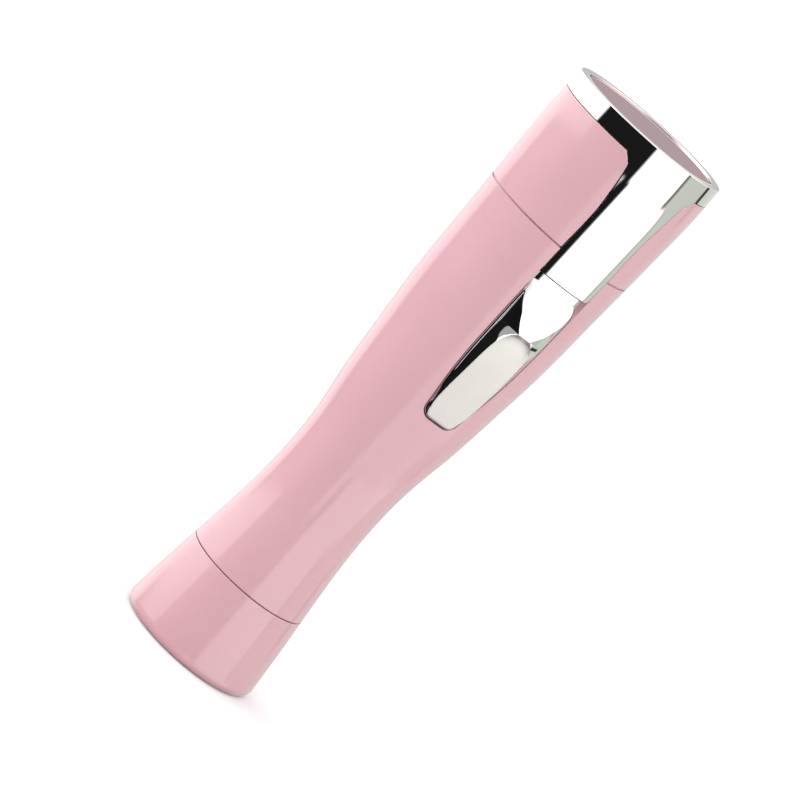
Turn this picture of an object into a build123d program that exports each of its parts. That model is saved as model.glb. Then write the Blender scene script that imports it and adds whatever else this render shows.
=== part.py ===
from build123d import *

import os
from math import atan2, cos, degrees, pi, radians, sin, sqrt, tan

# A battery epilator that stands on its base cap.  Millimetres, +Z up, origin at the middle of the
# base, front (slide switch and chrome tongue) towards -Y.

# ---- Outer form -------------------------------------------------------------------------------
LENGTH = 140.0
# Radius and height of the turned outer form, from the base to the rim round the mirror.
OUTLINE = [
    (16.0, 0.0),
    (15.1, 10.0),
    (14.05, 19.2),
    (12.85, 30.0),
    (12.12, 43.0),
    (12.72, 55.0),
    (14.05, 64.0),
    (15.35, 76.0),
    (16.5, 88.0),
    (17.08, 100.0),
    (17.62, 113.0),
    (18.12, 125.0),
    (18.32, 134.0),
    (17.95, LENGTH),
]
SEAM_GAP = 0.3
# A low lip closes each seam a little below the surface.
SEAM_DEPTH = 0.3
LIP_THICK = 0.8
LIP_REACH = 0.25
LOWER_SEAM = 19.2
UPPER_SEAM = 113.0
BODY_LOW = LOWER_SEAM + SEAM_GAP / 2
BODY_HIGH = UPPER_SEAM - SEAM_GAP / 2
WALL = 2.2
BASE_ROUND = 1.8
BASE_FLOOR = 2.2

# ---- Base cap, its neck joint and the cell ----------------------------------------------------
NECK_LOW = 10.0
NECK_RADIUS = 12.65
NECK_BORE = 11.0
CAP_BORE = 12.75
CAP_WELL = 10.5
SEAL_HEIGHT = 15.0
SEAL_WIRE = 0.45
SEAL_PROUD = 0.05
SEAL_PLAY = 0.2
LEDGE_LOW = 19.0
LEDGE_HIGH = 21.0
LEDGE_BORE = 10.4
CELL_RADIUS = 7.25
CELL_LOW = 8.5
CELL_LENGTH = 50.5
NUB_RADIUS = 2.75
NUB_HEIGHT = 1.3
CELL_HIGH = CELL_LOW + CELL_LENGTH
TUBE_BORE = 7.5
TUBE_RADIUS = 8.5
TUBE_FLANGE = 10.95
TUBE_LOW = 16.5
TUBE_END_WALL = 61.0
TUBE_HIGH = 62.5
CONTACT_SHEET = 0.4
CONTACT_PLATE_RADIUS = 9.8
CONTACT_ARM_THICK = 0.3
CONTACT_ARM_HIGH = 13.5
SPRING_WIRE = 0.4
SPRING_WIDE = 6.0
SPRING_NARROW = 2.6
SPRING_TURNS = 3.5
STRIP_INNER = 9.25
STRIP_THICK = 0.3
STRIP_HALF_WIDTH = 1.5
STRIP_LOW = 11.0
STRIP_HIGH = 65.5
STRIP_SLOT_SIDE = 0.5
STRIP_SLOT_HIGH = 30.0
PLUS_PLATE_RADIUS = 6.0
PLUS_PIP_RADIUS = 1.8
PLUS_TAB_X = 2.5
PLUS_TAB_Y = 3.1
PLUS_TAB_HALF_WIDTH = 1.0
PLUS_TAB_HALF_THICK = 0.2
PLUS_TAB_HIGH = 65.0
PLUS_TAB_PLAY = 0.2

# ---- Motor, 20.1 x 15.1 x 25 class ------------------------------------------------------------
MOTOR_HALF_WIDTH = 10.05
MOTOR_HALF_DEPTH = 7.55
CAN_LOW = 81.0
CAN_HIGH = 104.0
CAN_SHEET = 0.7
END_CAP_LOW = 79.0
REAR_BOSS_LOW = 77.5
FRONT_BOSS_HIGH = 105.5
BOSS_RADIUS = 3.0
BUSH_RADIUS = 1.8
BUSH_LENGTH = 1.5
END_CAP_SPIGOT = 1.5
MAGNET_LOW = 85.5
MAGNET_HIGH = 100.0
MAGNET_BORE = 6.3
MAGNET_HALF_DEPTH = 5.5
TERMINAL_INNER = 4.2
TERMINAL_OUTER = 4.8
TERMINAL_HALF_WIDTH = 1.0
TERMINAL_LOW = 76.2
TERMINAL_HIGH = 84.6
BRUSH_REACH = 2.3
BRUSH_THICK = 0.6
TERMINAL_PLAY = 0.2
ARMATURE_RADIUS = 5.9
ARMATURE_LOW = 87.0
ARMATURE_HIGH = 99.0
ARMATURE_POLES = 3
POLE_GAP = 1.2
POLE_ROOT = 2.6
COMMUTATOR_RADIUS = 2.2
COMMUTATOR_LOW = 82.8
COMMUTATOR_HIGH = 86.0
MOTOR_SHAFT_RADIUS = 1.0
MOTOR_SHAFT_LOW = 77.2
MOTOR_SHAFT_HIGH = 115.6
RUNNING_FIT = 0.05
PRESS_FIT = 0.01
PINION_LOW = 112.0
PINION_HIGH = 115.2
CLAMP_LOW = 104.6
CLAMP_HIGH = 105.8
CLAMP_FRONT = -6.5
CLAMP_FOOT_INNER = 3.5
CLAMP_FOOT_OUTER = 8.0
CLAMP_FOOT_HALF_DEPTH = 5.0
HOLDER_LOW = 66.0
HOLDER_FLOOR_HIGH = 68.5
HOLDER_INSET = WALL + 0.1
HOLDER_BACK = 9.4
HOLDER_WALL_INNER = 10.1
HOLDER_WALL_FRONT = -10.0
HOLDER_RAIL_INNER = 6.0
HOLDER_RAIL_OUTER = 10.5
HOLDER_RAIL_FRONT = -9.7
HOLDER_RAIL_BACK = -7.7
HOLDER_SHELF_INNER = 6.5
HOLDER_SHELF_FRONT = -4.0
HOLDER_SHELF_THICK = 2.0
SCREW_OFFSET = 12.7
SCREW_RADIUS = 0.8
SCREW_LENGTH = 6.0
SCREW_HEAD_RADIUS = 1.6
SCREW_HEAD_HEIGHT = 1.1
SCREW_RECESS_HALF_LENGTH = 1.1
SCREW_RECESS_HALF_WIDTH = 0.2
SCREW_RECESS_DEPTH = 0.5
LEAD_HOLE_RADIUS = 1.0
LEAD_RADIUS = 0.55
LEAD_BEND = 1.5
MINUS_LEAD_X = -1.0
PLUS_LEAD_HEIGHT = 71.5
MINUS_LEAD_HEIGHT = 73.5
MOTOR_LEAD_RADIUS = 0.5
MOTOR_LEAD_BEND = 0.8
MOTOR_LEAD_X = 4.5
MOTOR_LEAD_HEIGHT = 74.9

# ---- Slide switch -----------------------------------------------------------------------------
SWITCH_TRAVEL = 2.0
BUTTON_LOW = 70.0
BUTTON_HIGH = 106.8
BUTTON_DEPTH = 1.9
BUTTON_CLEARANCE = 0.3
BUTTON_FOOT_ROUND = 2.0
# Half widths of the button seen from the front, from its foot to its head, with their heights.
BUTTON_SIDE = [(3.85, BUTTON_LOW), (4.0, 71.0), (5.2, 79.0), (6.05, 90.0), (6.2, 98.0), (6.2, BUTTON_HIGH)]
NOSE_LOW = 105.0
NOSE_DEPTH = 0.95
# Radius and height of the slope that carries the button's head in under the tongue.
HEAD_SLOPE = [(18.4, 98.0), (17.8, 99.8), (17.25, 101.5), (16.8, 103.5), (16.32, NOSE_LOW)]
# Height, half width at the foot of the ridge, half width of its top, and how proud the top stands.
RIDGE = [
    (70.3, 3.3, 3.1, 0.04),
    (73.0, 4.15, 3.9, 0.15),
    (79.0, 4.9, 4.3, 0.4),
    (85.0, 5.4, 4.3, 0.62),
    (89.5, 5.6, 4.15, 0.78),
    (91.5, 5.65, 3.8, 0.86),
    (93.2, 5.65, 3.05, 0.96),
    (94.1, 5.6, 2.3, 1.12),
    (94.7, 5.6, 1.5, 1.35),
    (96.5, 5.6, 2.9, 1.13),
    (98.0, 5.6, 3.8, 0.9),
    (99.5, 5.6, 4.5, 0.6),
    (101.5, 5.65, 5.2, 0.1),
    (NOSE_LOW, 5.9, 5.85, 0.02),
]
RIDGE_ROOT = 0.4
DEEP_ROOT = 5.0
PAD_SECTIONS = 9
PAD_THICK = 0.8
CARRIER_LOW = 82.0
CARRIER_HIGH = 99.0
CARRIER_HALF_WIDTH = 7.6
CARRIER_FRONT = WALL + 0.35
CARRIER_BACK = WALL + 1.15
CARRIER_BOSS_HALF_WIDTH = 4.4
CARRIER_BOSS_INSET = 1.0
BOARD_FRONT = 9.4
BOARD_BACK = 8.4
BOARD_HALF_WIDTH = 6.2
BOARD_LOW = 70.0
BOARD_HIGH = 100.0
SWITCH_FRONT = 11.7
SWITCH_HALF_WIDTH = 4.3
SWITCH_BELOW_KNOB = 3.5
SWITCH_ABOVE_KNOB = 5.0
SWITCH_FLOOR = 0.8
KNOB_LOW = 88.0
KNOB_HIGH = 91.0
KNOB_HALF_WIDTH = 1.0
KNOB_FRONT = 13.4
KNOB_BACK = 10.5
KNOB_PLAY = 0.05
WINDOW_PLAY = 0.3

# ---- Chrome tongue and rim, cap and mirror ----------------------------------------------------
TONGUE_LOW = 107.15
TONGUE_TIP = 0.6
TONGUE_ROOT = 1.0
TONGUE_STEP = 110.0
TONGUE_CORNER = 0.8
TONGUE_PLAY = 0.1
BAY_DEPTH = TONGUE_ROOT + 0.3
# Half widths of the tongue seen from the front, from its tip up to the rim, with their heights.
TONGUE_SIDE = [
    (6.3, TONGUE_LOW),
    (6.4, 113.0),
    (6.5, 125.0),
    (6.85, 128.0),
    (7.2, 131.0),
    (7.7, 133.9),
    (9.5, 135.9),
]
RIM_LOW = 135.9
RIM_RADIUS = 18.3
RIM_TOP_RADIUS = 17.85
RIM_LAND = 17.6
RIM_EDGE = 0.3
RIM_TAPER = 0.15
MIRROR_RADIUS = 15.8
MIRROR_TOP = 139.7
MIRROR_THICK = 1.2
MIRROR_EDGE = 0.15
MIRROR_PLAY = 0.1
PAD_TAPE = 0.4
CAP_CAVITY = 16.1
CAP_CEILING = 134.4
CAP_RIBS = 6
RIB_REACH = 15.6
RIB_PITCH = 40.0
RIB_HALF_WIDTH = 0.6

# ---- Tweezer head -----------------------------------------------------------------------------
COLLAR_RADIUS = 16.0
COLLAR_BORE = 13.6
PLUG_RADIUS = 15.1
PLUG_LOW = 107.6
SHOULDER = 115.0
HEAD_FLOOR_LOW = 108.6
HEAD_FLOOR_HIGH = 110.0
COVER_RADIUS = 15.3
COVER_BORE = 14.4
COVER_CEILING = 128.8
COVER_TOP = 129.9
COVER_ROUND = 2.0
WINDOW_LEFT = -11.5
WINDOW_RIGHT = 7.8
WINDOW_HALF_DEPTH = 6.3
HUMP_RADIUS = 6.4
HUMP_BORE = 5.7
HUMP_LEFT = -13.4
HUMP_RIGHT = 12.4
GEAR_BAY = (9.15, 11.6)
DRUM_HEIGHT = 127.0
DRUM_RADIUS = 5.6
DRUM_LEFT = -11.3
DRUM_RIGHT = 7.6
DRUM_AXLE_RADIUS = 1.0
STATIONS = 6
STATION_PITCH = 2.9
PLATE_THICK = 0.3
PLATE_SPREAD = 0.5
SPACER_RADIUS = 4.9
WASHER_RADIUS = 2.2
NOTCHES = 6
NOTCH_HALF_WIDTH = 0.5
NOTCH_DEPTH = 0.7
ROD_RADIUS = 0.5
ROD_OFFSET = 3.3
LEFT_CHEEK = (-13.0, -11.8)
INNER_CHEEK = (8.0, 9.1)
OUTER_CHEEK = (10.9, 12.1)
SHAFT_POST = (-4.2, -3.0)
SHAFT_POST_HALF_WIDTH = 2.5
CHEEK_ROOT = HEAD_FLOOR_LOW + 0.5
CHEEK_SHOULDER = 122.0
CHEEK_TOP = 128.4
CHEEK_TOP_HALF_WIDTH = 2.4
PINION_WELL = 3.4

# ---- Gear train -------------------------------------------------------------------------------
MODULE = 0.5
PRESSURE_ANGLE = radians(20.0)
ADDENDUM = 0.7 * MODULE
DEDENDUM = 1.0 * MODULE
TOOTH_SHARE = 0.42
PINION_TEETH = 8
CROWN_TEETH = 14
SPUR_TEETH = 10
IDLER_TEETH = 14
DRUM_TEETH = 20
GEAR_LEFT = 9.4
GEAR_RIGHT = 10.6
CROWN_HEIGHT = 117.0
CROWN_SHAFT_RADIUS = 0.75
CROWN_FACE = 1.0
CROWN_BACK = 3.9
CROWN_HUB_RADIUS = 1.8
CROWN_HUB_LENGTH = 1.6
CROWN_TOOTH_ROOT = 0.34
CROWN_TOOTH_TIP = 0.17
CROWN_TOOTH_SUNK = 0.2

FAR = 30.0
UP = (Align.CENTER, Align.CENTER, Align.MIN)
CORNER = (Align.MIN, Align.MIN, Align.MIN)


# ---- Building blocks --------------------------------------------------------------------------
def save(name, *pieces):
    """Writes one sub-part; several pieces go in as separate solids."""
    solids = [solid for piece in pieces for solid in piece.solids()]
    shape = solids[0] if len(solids) == 1 else Compound(children=solids)
    export_step(shape, f"parts/{name}.step")


def rod_z(radius, low, high, x=0.0, y=0.0):
    """Upright round bar between two heights."""
    return Pos(x, y, low) * Cylinder(radius, high - low, align=UP)


def rod_x(radius, left, right, y=0.0, z=0.0):
    """Round bar along X."""
    return Pos(left, y, z) * Rot(0, 90, 0) * Cylinder(radius, right - left, align=UP)


def block(x0, x1, y0, y1, z0, z1):
    """Rectangular block from its lowest corner to its highest corner."""
    return Pos(x0, y0, z0) * Box(x1 - x0, y1 - y0, z1 - z0, align=CORNER)


def both_sides(piece):
    """The piece and its mirror image in the plane x = 0."""
    return [piece, mirror(piece, about=Plane.YZ)]


def turned_form(inset, low, high):
    """The outer form shrunk by inset, between two heights."""
    flank = Spline(*[(radius - inset, height) for radius, height in OUTLINE])
    back = Polyline(flank @ 1, (0, LENGTH), (0, 0), flank @ 0)
    solid = revolve(Plane.XZ * make_face(flank + back), Axis.Z)
    return solid & rod_z(FAR, low, high)


def turned_skin(outer_inset, inner_inset, low, high):
    """A skin of the outer form between two depths and two heights."""
    return turned_form(outer_inset, low, high) - turned_form(inner_inset, low, high)


def form_radius(height):
    """Radius of the outer form at a height, along straight chords of the outline."""
    for (lower_radius, low), (upper_radius, high) in zip(OUTLINE, OUTLINE[1:]):
        if height <= high:
            share = (height - low) / (high - low)
            return lower_radius + share * (upper_radius - lower_radius)
    return OUTLINE[-1][0]


def front_prism(face):
    """A face drawn in the front view (x, height), carried forwards through the wall."""
    return extrude(Plane.XZ * face, FAR)


def front_face(side, foot_round):
    """Front-view face with the given half widths on both sides and rounded foot corners."""
    right = Polyline(*side)
    left = Polyline(*[(-half_width, height) for half_width, height in side])
    foot = Line(left @ 0, right @ 0)
    head = Line(left @ 1, right @ 1)
    face = make_face(right + left + foot + head)
    corners = face.vertices().group_by(Axis.Y)[0]
    return fillet(corners, foot_round)


def button_face(head):
    """Front view of the slide button, up to the given height."""
    side = BUTTON_SIDE[:-1] + [(BUTTON_SIDE[-1][0], head)]
    return front_face(side, BUTTON_FOOT_ROUND)


# ---- Base cap ---------------------------------------------------------------------------------
def base_cap_shell():
    """Cup that closes the battery compartment and stands the epilator up."""
    cup = turned_form(0, 0, LOWER_SEAM - SEAM_GAP / 2)
    foot = cup.edges().filter_by(GeomType.CIRCLE).group_by(Axis.Z)[0]
    cup = fillet(foot, BASE_ROUND)
    cup -= rod_z(CAP_BORE, NECK_LOW, FAR)
    cup -= rod_z(CAP_WELL, BASE_FLOOR, FAR)
    return cup


def base_contact():
    """Sprung-steel plate under the cell, with an arm that meets the negative strip."""
    plate = rod_z(CONTACT_PLATE_RADIUS, BASE_FLOOR, BASE_FLOOR + CONTACT_SHEET)
    outer = STRIP_INNER - RUNNING_FIT
    inner = outer - CONTACT_ARM_THICK
    arm = block(-STRIP_HALF_WIDTH, STRIP_HALF_WIDTH, inner, outer, BASE_FLOOR, CONTACT_ARM_HIGH)
    return plate + arm


def contact_spring():
    """Tapered coil between the base contact and the cell."""
    low = BASE_FLOOR + CONTACT_SHEET + SPRING_WIRE
    high = CELL_LOW - SPRING_WIRE
    height = high - low
    taper = degrees(atan2(SPRING_WIDE - SPRING_NARROW, height))
    coil = Helix(height / SPRING_TURNS, height, SPRING_WIDE, center=(0, 0, low), cone_angle=-taper)
    section = Plane(origin=coil @ 0, z_dir=coil % 0) * Circle(SPRING_WIRE)
    return sweep(section, path=coil, is_frenet=True)


def seal_ring():
    """Rubber ring in the neck's groove."""
    return Pos(0, 0, SEAL_HEIGHT) * Torus(NECK_RADIUS + SEAL_PROUD - SEAL_WIRE, SEAL_WIRE)


# ---- Body -------------------------------------------------------------------------------------
def body_shell():
    """One moulded tube: grip, neck for the base cap, slot for the button, bay for the tongue."""
    shell = turned_form(0, BODY_LOW, BODY_HIGH)
    shell += rod_z(NECK_RADIUS, NECK_LOW, BODY_LOW + 1.0)
    shell += turned_skin(SEAM_DEPTH, SEAM_DEPTH + LIP_THICK, BODY_LOW - LIP_REACH, BODY_HIGH + LIP_REACH)
    shell -= turned_form(WALL, LEDGE_HIGH, LENGTH)
    shell -= rod_z(NECK_BORE, 0, LEDGE_LOW)
    shell -= rod_z(LEDGE_BORE, 0, LEDGE_HIGH)
    groove_low = SEAL_HEIGHT - SEAL_WIRE - SEAL_PLAY
    groove_high = SEAL_HEIGHT + SEAL_WIRE + SEAL_PLAY
    groove = rod_z(FAR, groove_low, groove_high)
    groove -= rod_z(NECK_RADIUS + SEAL_PROUD - 2 * SEAL_WIRE, groove_low, groove_high)
    shell -= groove
    head = BUTTON_HIGH + SWITCH_TRAVEL
    shell -= front_prism(offset(button_face(head), BUTTON_CLEARANCE))
    bay = front_prism(offset(front_face(TONGUE_SIDE, TONGUE_CORNER), BUTTON_CLEARANCE))
    shell -= bay - turned_form(BAY_DEPTH, 0, LENGTH)
    return shell


def battery_tube():
    """Tube that guides the cell, pushed in from below up to the body's ledge."""
    tube = rod_z(TUBE_RADIUS, TUBE_LOW, TUBE_HIGH) + rod_z(TUBE_FLANGE, TUBE_LOW, LEDGE_LOW)
    tube -= rod_z(TUBE_BORE, 0, TUBE_END_WALL)
    half_slot = STRIP_HALF_WIDTH + STRIP_SLOT_SIDE
    slot_back = STRIP_INNER + STRIP_THICK + STRIP_SLOT_SIDE
    tube -= block(-half_slot, half_slot, TUBE_RADIUS, slot_back, 0, STRIP_SLOT_HIGH)
    return tube - plus_tab(PLUS_TAB_PLAY, TUBE_END_WALL - 1, TUBE_HIGH + 1)


def plus_tab(play, low, high):
    """Tab of the positive contact, or with some play the slit it stands in."""
    half_width = PLUS_TAB_HALF_WIDTH + play
    half_thick = PLUS_TAB_HALF_THICK + play
    bar = block(-half_width, half_width, -half_thick, half_thick, low, high)
    return Pos(PLUS_TAB_X, PLUS_TAB_Y, 0) * bar


def positive_contact():
    """Plate with a pip for the cell's nub and a tab for the lead."""
    low = TUBE_END_WALL - CONTACT_SHEET
    plate = rod_z(PLUS_PLATE_RADIUS, low, TUBE_END_WALL)
    pip = rod_z(PLUS_PIP_RADIUS, CELL_HIGH, low)
    return plate + pip + plus_tab(0, low, PLUS_TAB_HIGH)


def negative_strip():
    """Flat strip from the neck up past the cell."""
    back = STRIP_INNER + STRIP_THICK
    return block(-STRIP_HALF_WIDTH, STRIP_HALF_WIDTH, STRIP_INNER, back, STRIP_LOW, STRIP_HIGH)


def holder_floor_hole(x, y):
    """Way through the holder's floor for one lead."""
    return rod_z(LEAD_HOLE_RADIUS, HOLDER_LOW - 1, HOLDER_FLOOR_HIGH + 1, x, y)


def holder_walls():
    """Back wall, side walls, board rails and motor shelves of the holder, before trimming."""
    width = HOLDER_RAIL_OUTER
    motor_back = MOTOR_HALF_DEPTH + RUNNING_FIT
    back = block(-width, width, motor_back, HOLDER_BACK, END_CAP_LOW, CLAMP_LOW)
    side = block(HOLDER_WALL_INNER, FAR, HOLDER_WALL_FRONT, HOLDER_BACK, HOLDER_FLOOR_HIGH - 0.5, CLAMP_LOW)
    rail = block(
        HOLDER_RAIL_INNER, HOLDER_RAIL_OUTER, HOLDER_RAIL_FRONT, HOLDER_RAIL_BACK, END_CAP_LOW, BOARD_HIGH
    )
    shelf = block(
        HOLDER_SHELF_INNER,
        HOLDER_RAIL_OUTER,
        HOLDER_SHELF_FRONT,
        motor_back + 0.2,
        END_CAP_LOW - HOLDER_SHELF_THICK,
        END_CAP_LOW,
    )
    return [back, *both_sides(side), *both_sides(rail), *both_sides(shelf)]


def motor_holder():
    """Cradle that wedges in the tapering body and carries the motor and the board."""
    holder = rod_z(FAR, HOLDER_LOW, HOLDER_FLOOR_HIGH)
    for wall in holder_walls():
        holder += wall
    holder = holder & turned_form(HOLDER_INSET, HOLDER_LOW, CLAMP_LOW)
    half_width = BOARD_HALF_WIDTH + RUNNING_FIT
    front = -BOARD_FRONT - RUNNING_FIT
    back = -BOARD_BACK + RUNNING_FIT
    holder -= block(-half_width, half_width, front, back, BOARD_LOW, LENGTH)
    holder -= holder_floor_hole(PLUS_TAB_X, PLUS_TAB_Y)
    holder -= holder_floor_hole(MINUS_LEAD_X, STRIP_INNER + STRIP_THICK / 2)
    for hole in both_sides(rod_z(SCREW_RADIUS, CLAMP_LOW - SCREW_LENGTH - 1, CLAMP_LOW + 1, SCREW_OFFSET)):
        holder -= hole
    return holder


def motor_section(grow, low, high):
    """Round bar with two flats, the motor's section."""
    depth = MOTOR_HALF_DEPTH + grow
    return rod_z(MOTOR_HALF_WIDTH + grow, low, high) & block(-FAR, FAR, -depth, depth, low, high)


def motor_can():
    """Drawn steel can with its front boss."""
    can = motor_section(0, CAN_LOW, CAN_HIGH) - motor_section(-CAN_SHEET, 0, CAN_HIGH - CAN_SHEET)
    can += rod_z(BOSS_RADIUS, CAN_HIGH - CAN_SHEET, FRONT_BOSS_HIGH)
    return can - rod_z(BUSH_RADIUS, 0, LENGTH)


def motor_end_cap():
    """Plastic end of the motor, with the rear boss."""
    cap = motor_section(0, END_CAP_LOW, CAN_LOW)
    cap += motor_section(-CAN_SHEET - RUNNING_FIT, CAN_LOW, CAN_LOW + END_CAP_SPIGOT)
    cap += rod_z(BOSS_RADIUS, REAR_BOSS_LOW, END_CAP_LOW)
    cap -= rod_z(BUSH_RADIUS, 0, LENGTH)
    inner = TERMINAL_INNER - TERMINAL_PLAY
    outer = TERMINAL_OUTER + TERMINAL_PLAY
    half_width = TERMINAL_HALF_WIDTH + TERMINAL_PLAY
    for slot in both_sides(block(inner, outer, -half_width, half_width, 0, LENGTH)):
        cap -= slot
    return cap


def motor_bushes():
    """Sintered bearings at both ends of the motor shaft."""
    bore = MOTOR_SHAFT_RADIUS + RUNNING_FIT
    front = rod_z(BUSH_RADIUS, CAN_HIGH - BUSH_LENGTH, FRONT_BOSS_HIGH) - rod_z(bore, 0, LENGTH)
    rear = rod_z(BUSH_RADIUS, REAR_BOSS_LOW, END_CAP_LOW + BUSH_LENGTH) - rod_z(bore, 0, LENGTH)
    return front, rear


def motor_magnets():
    """Two arc magnets against the can's round sides."""
    ring = rod_z(MOTOR_HALF_WIDTH - CAN_SHEET, MAGNET_LOW, MAGNET_HIGH) - rod_z(MAGNET_BORE, 0, LENGTH)
    return both_sides(ring & block(0, FAR, -MAGNET_HALF_DEPTH, MAGNET_HALF_DEPTH, 0, LENGTH))


def motor_terminals():
    """Brush carriers whose tails come out of the end cap."""
    half_width = TERMINAL_HALF_WIDTH
    tail = block(TERMINAL_INNER, TERMINAL_OUTER, -half_width, half_width, TERMINAL_LOW, TERMINAL_HIGH)
    brush_low = TERMINAL_HIGH - BRUSH_THICK
    brush = block(BRUSH_REACH, TERMINAL_INNER, -half_width, half_width, brush_low, TERMINAL_HIGH)
    return both_sides(tail + brush)


def motor_clamp():
    """Plate screwed over the motor's front face."""
    plate = turned_form(HOLDER_INSET, CLAMP_LOW, CLAMP_HIGH)
    plate -= block(-FAR, FAR, -FAR, CLAMP_FRONT, 0, LENGTH)
    plate -= block(-FAR, FAR, HOLDER_BACK, FAR, 0, LENGTH)
    plate -= rod_z(BOSS_RADIUS + 2 * RUNNING_FIT, 0, LENGTH)
    half_depth = CLAMP_FOOT_HALF_DEPTH
    foot = block(CLAMP_FOOT_INNER, CLAMP_FOOT_OUTER, -half_depth, half_depth, CAN_HIGH, CLAMP_LOW)
    for piece in both_sides(foot):
        plate += piece
    for hole in both_sides(rod_z(SCREW_RADIUS + 0.3, 0, LENGTH, SCREW_OFFSET)):
        plate -= hole
    return plate


def clamp_screw():
    """Pan-head screw with a cross recess."""
    top = CLAMP_HIGH + SCREW_HEAD_HEIGHT
    screw = rod_z(SCREW_RADIUS, CLAMP_LOW - SCREW_LENGTH, CLAMP_HIGH)
    screw += rod_z(SCREW_HEAD_RADIUS, CLAMP_HIGH, top)
    long = SCREW_RECESS_HALF_LENGTH
    short = SCREW_RECESS_HALF_WIDTH
    screw -= block(-long, long, -short, short, top - SCREW_RECESS_DEPTH, top)
    screw -= block(-short, short, -long, long, top - SCREW_RECESS_DEPTH, top)
    return Pos(SCREW_OFFSET, 0, 0) * screw


def lead_wire(radius, bend, *points):
    """Insulated wire through the points, with round corners."""
    route = FilletPolyline(*points, radius=bend)
    section = Plane(origin=route @ 0, z_dir=route % 0) * Circle(radius)
    return sweep(section, path=route)


def battery_leads():
    """Leads from the cell's two contacts to the board."""
    plus_points = [
        (PLUS_TAB_X, PLUS_TAB_Y, PLUS_TAB_HIGH),
        (PLUS_TAB_X, PLUS_TAB_Y, PLUS_LEAD_HEIGHT),
        (PLUS_TAB_X, -BOARD_BACK, PLUS_LEAD_HEIGHT),
    ]
    strip_middle = STRIP_INNER + STRIP_THICK / 2
    minus_points = [
        (MINUS_LEAD_X, strip_middle, STRIP_HIGH),
        (MINUS_LEAD_X, strip_middle, MINUS_LEAD_HEIGHT),
        (MINUS_LEAD_X, -BOARD_BACK, MINUS_LEAD_HEIGHT),
    ]
    return [lead_wire(LEAD_RADIUS, LEAD_BEND, *points) for points in (plus_points, minus_points)]


def motor_leads():
    """Leads from the board to the motor's terminals."""
    points = [
        (MOTOR_LEAD_X, -BOARD_BACK, MOTOR_LEAD_HEIGHT),
        (MOTOR_LEAD_X, 0.0, MOTOR_LEAD_HEIGHT),
        (MOTOR_LEAD_X, 0.0, TERMINAL_LOW),
    ]
    return both_sides(lead_wire(MOTOR_LEAD_RADIUS, MOTOR_LEAD_BEND, *points))


def circuit_board():
    """Board behind the button."""
    half_width = BOARD_HALF_WIDTH
    return block(-half_width, half_width, -BOARD_FRONT, -BOARD_BACK, BOARD_LOW, BOARD_HIGH)


def switch_case():
    """Housing of the slide switch, with the knob's window."""
    low = KNOB_LOW - SWITCH_BELOW_KNOB
    high = KNOB_HIGH + SWITCH_ABOVE_KNOB
    case = block(-SWITCH_HALF_WIDTH, SWITCH_HALF_WIDTH, -SWITCH_FRONT, -BOARD_FRONT, low, high)
    half_width = KNOB_HALF_WIDTH + 2 * RUNNING_FIT
    window_low = KNOB_LOW - WINDOW_PLAY
    window_high = KNOB_HIGH + SWITCH_TRAVEL + WINDOW_PLAY
    return case - block(-half_width, half_width, -FAR, -BOARD_FRONT - SWITCH_FLOOR, window_low, window_high)


# ---- Slide button -----------------------------------------------------------------------------
def ridge_section(height, foot, top, proud, sink, back):
    """One cross-section of the button's ridge, sunk by sink, with its flat back at back."""
    radius = form_radius(height)
    edge = sqrt(radius**2 - foot**2)
    corners = [
        (-foot, -edge + sink),
        (-top, -radius - proud + sink),
        (top, -radius - proud + sink),
        (foot, -edge + sink),
        (foot, -edge + back),
        (-foot, -edge + back),
    ]
    return Pos(0, 0, height) * make_face(Polyline(*corners, close=True))


def ridge(sink, back):
    """The raised, narrowing part of the button that the thumb pushes."""
    return loft([ridge_section(*station, sink, back) for station in RIDGE], ruled=True)


def slide_button_and_pad():
    """Chrome button and the satin thumb pad let into it."""
    base = front_prism(button_face(BUTTON_HIGH)) & turned_skin(0, BUTTON_DEPTH, 0, LENGTH)
    whole = base + ridge(0, RIDGE_ROOT)
    whole -= rod_z(FAR, NOSE_LOW, LENGTH) - turned_form(NOSE_DEPTH, NOSE_LOW, LENGTH)
    slope = Polyline(*HEAD_SLOPE, (FAR, NOSE_LOW), (FAR, HEAD_SLOPE[0][1]), close=True)
    whole -= revolve(Plane.XZ * make_face(slope), Axis.Z)
    side = [(top, height) for height, _, top, _ in RIDGE[:PAD_SECTIONS]]
    left = [(-top, height) for top, height in reversed(side)]
    outline = make_face(Polyline(*side, *left, close=True))
    pad = whole & (front_prism(outline) - ridge(PAD_THICK, DEEP_ROOT))
    return whole - pad, pad


def slide_carrier():
    """Plate behind the wall that keeps the button in and drives the switch knob."""
    guide = block(-CARRIER_HALF_WIDTH, CARRIER_HALF_WIDTH, -FAR, 0, CARRIER_LOW, CARRIER_HIGH)
    guide = guide & turned_skin(CARRIER_FRONT, CARRIER_BACK, 0, LENGTH)
    low = CARRIER_LOW + CARRIER_BOSS_INSET
    high = CARRIER_HIGH - CARRIER_BOSS_INSET
    boss = block(-CARRIER_BOSS_HALF_WIDTH, CARRIER_BOSS_HALF_WIDTH, -FAR, 0, low, high)
    boss = boss & turned_skin(BUTTON_DEPTH, CARRIER_FRONT + 0.25, 0, LENGTH)
    half_width = KNOB_HALF_WIDTH + KNOB_PLAY
    pocket = block(
        -half_width, half_width, -KNOB_FRONT - 2 * KNOB_PLAY, 0, KNOB_LOW - KNOB_PLAY, KNOB_HIGH + KNOB_PLAY
    )
    return guide + boss - pocket


def switch_knob():
    """Plastic knob of the switch, held in the carrier's pocket."""
    return block(-KNOB_HALF_WIDTH, KNOB_HALF_WIDTH, -KNOB_FRONT, -KNOB_BACK, KNOB_LOW, KNOB_HIGH)


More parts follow.
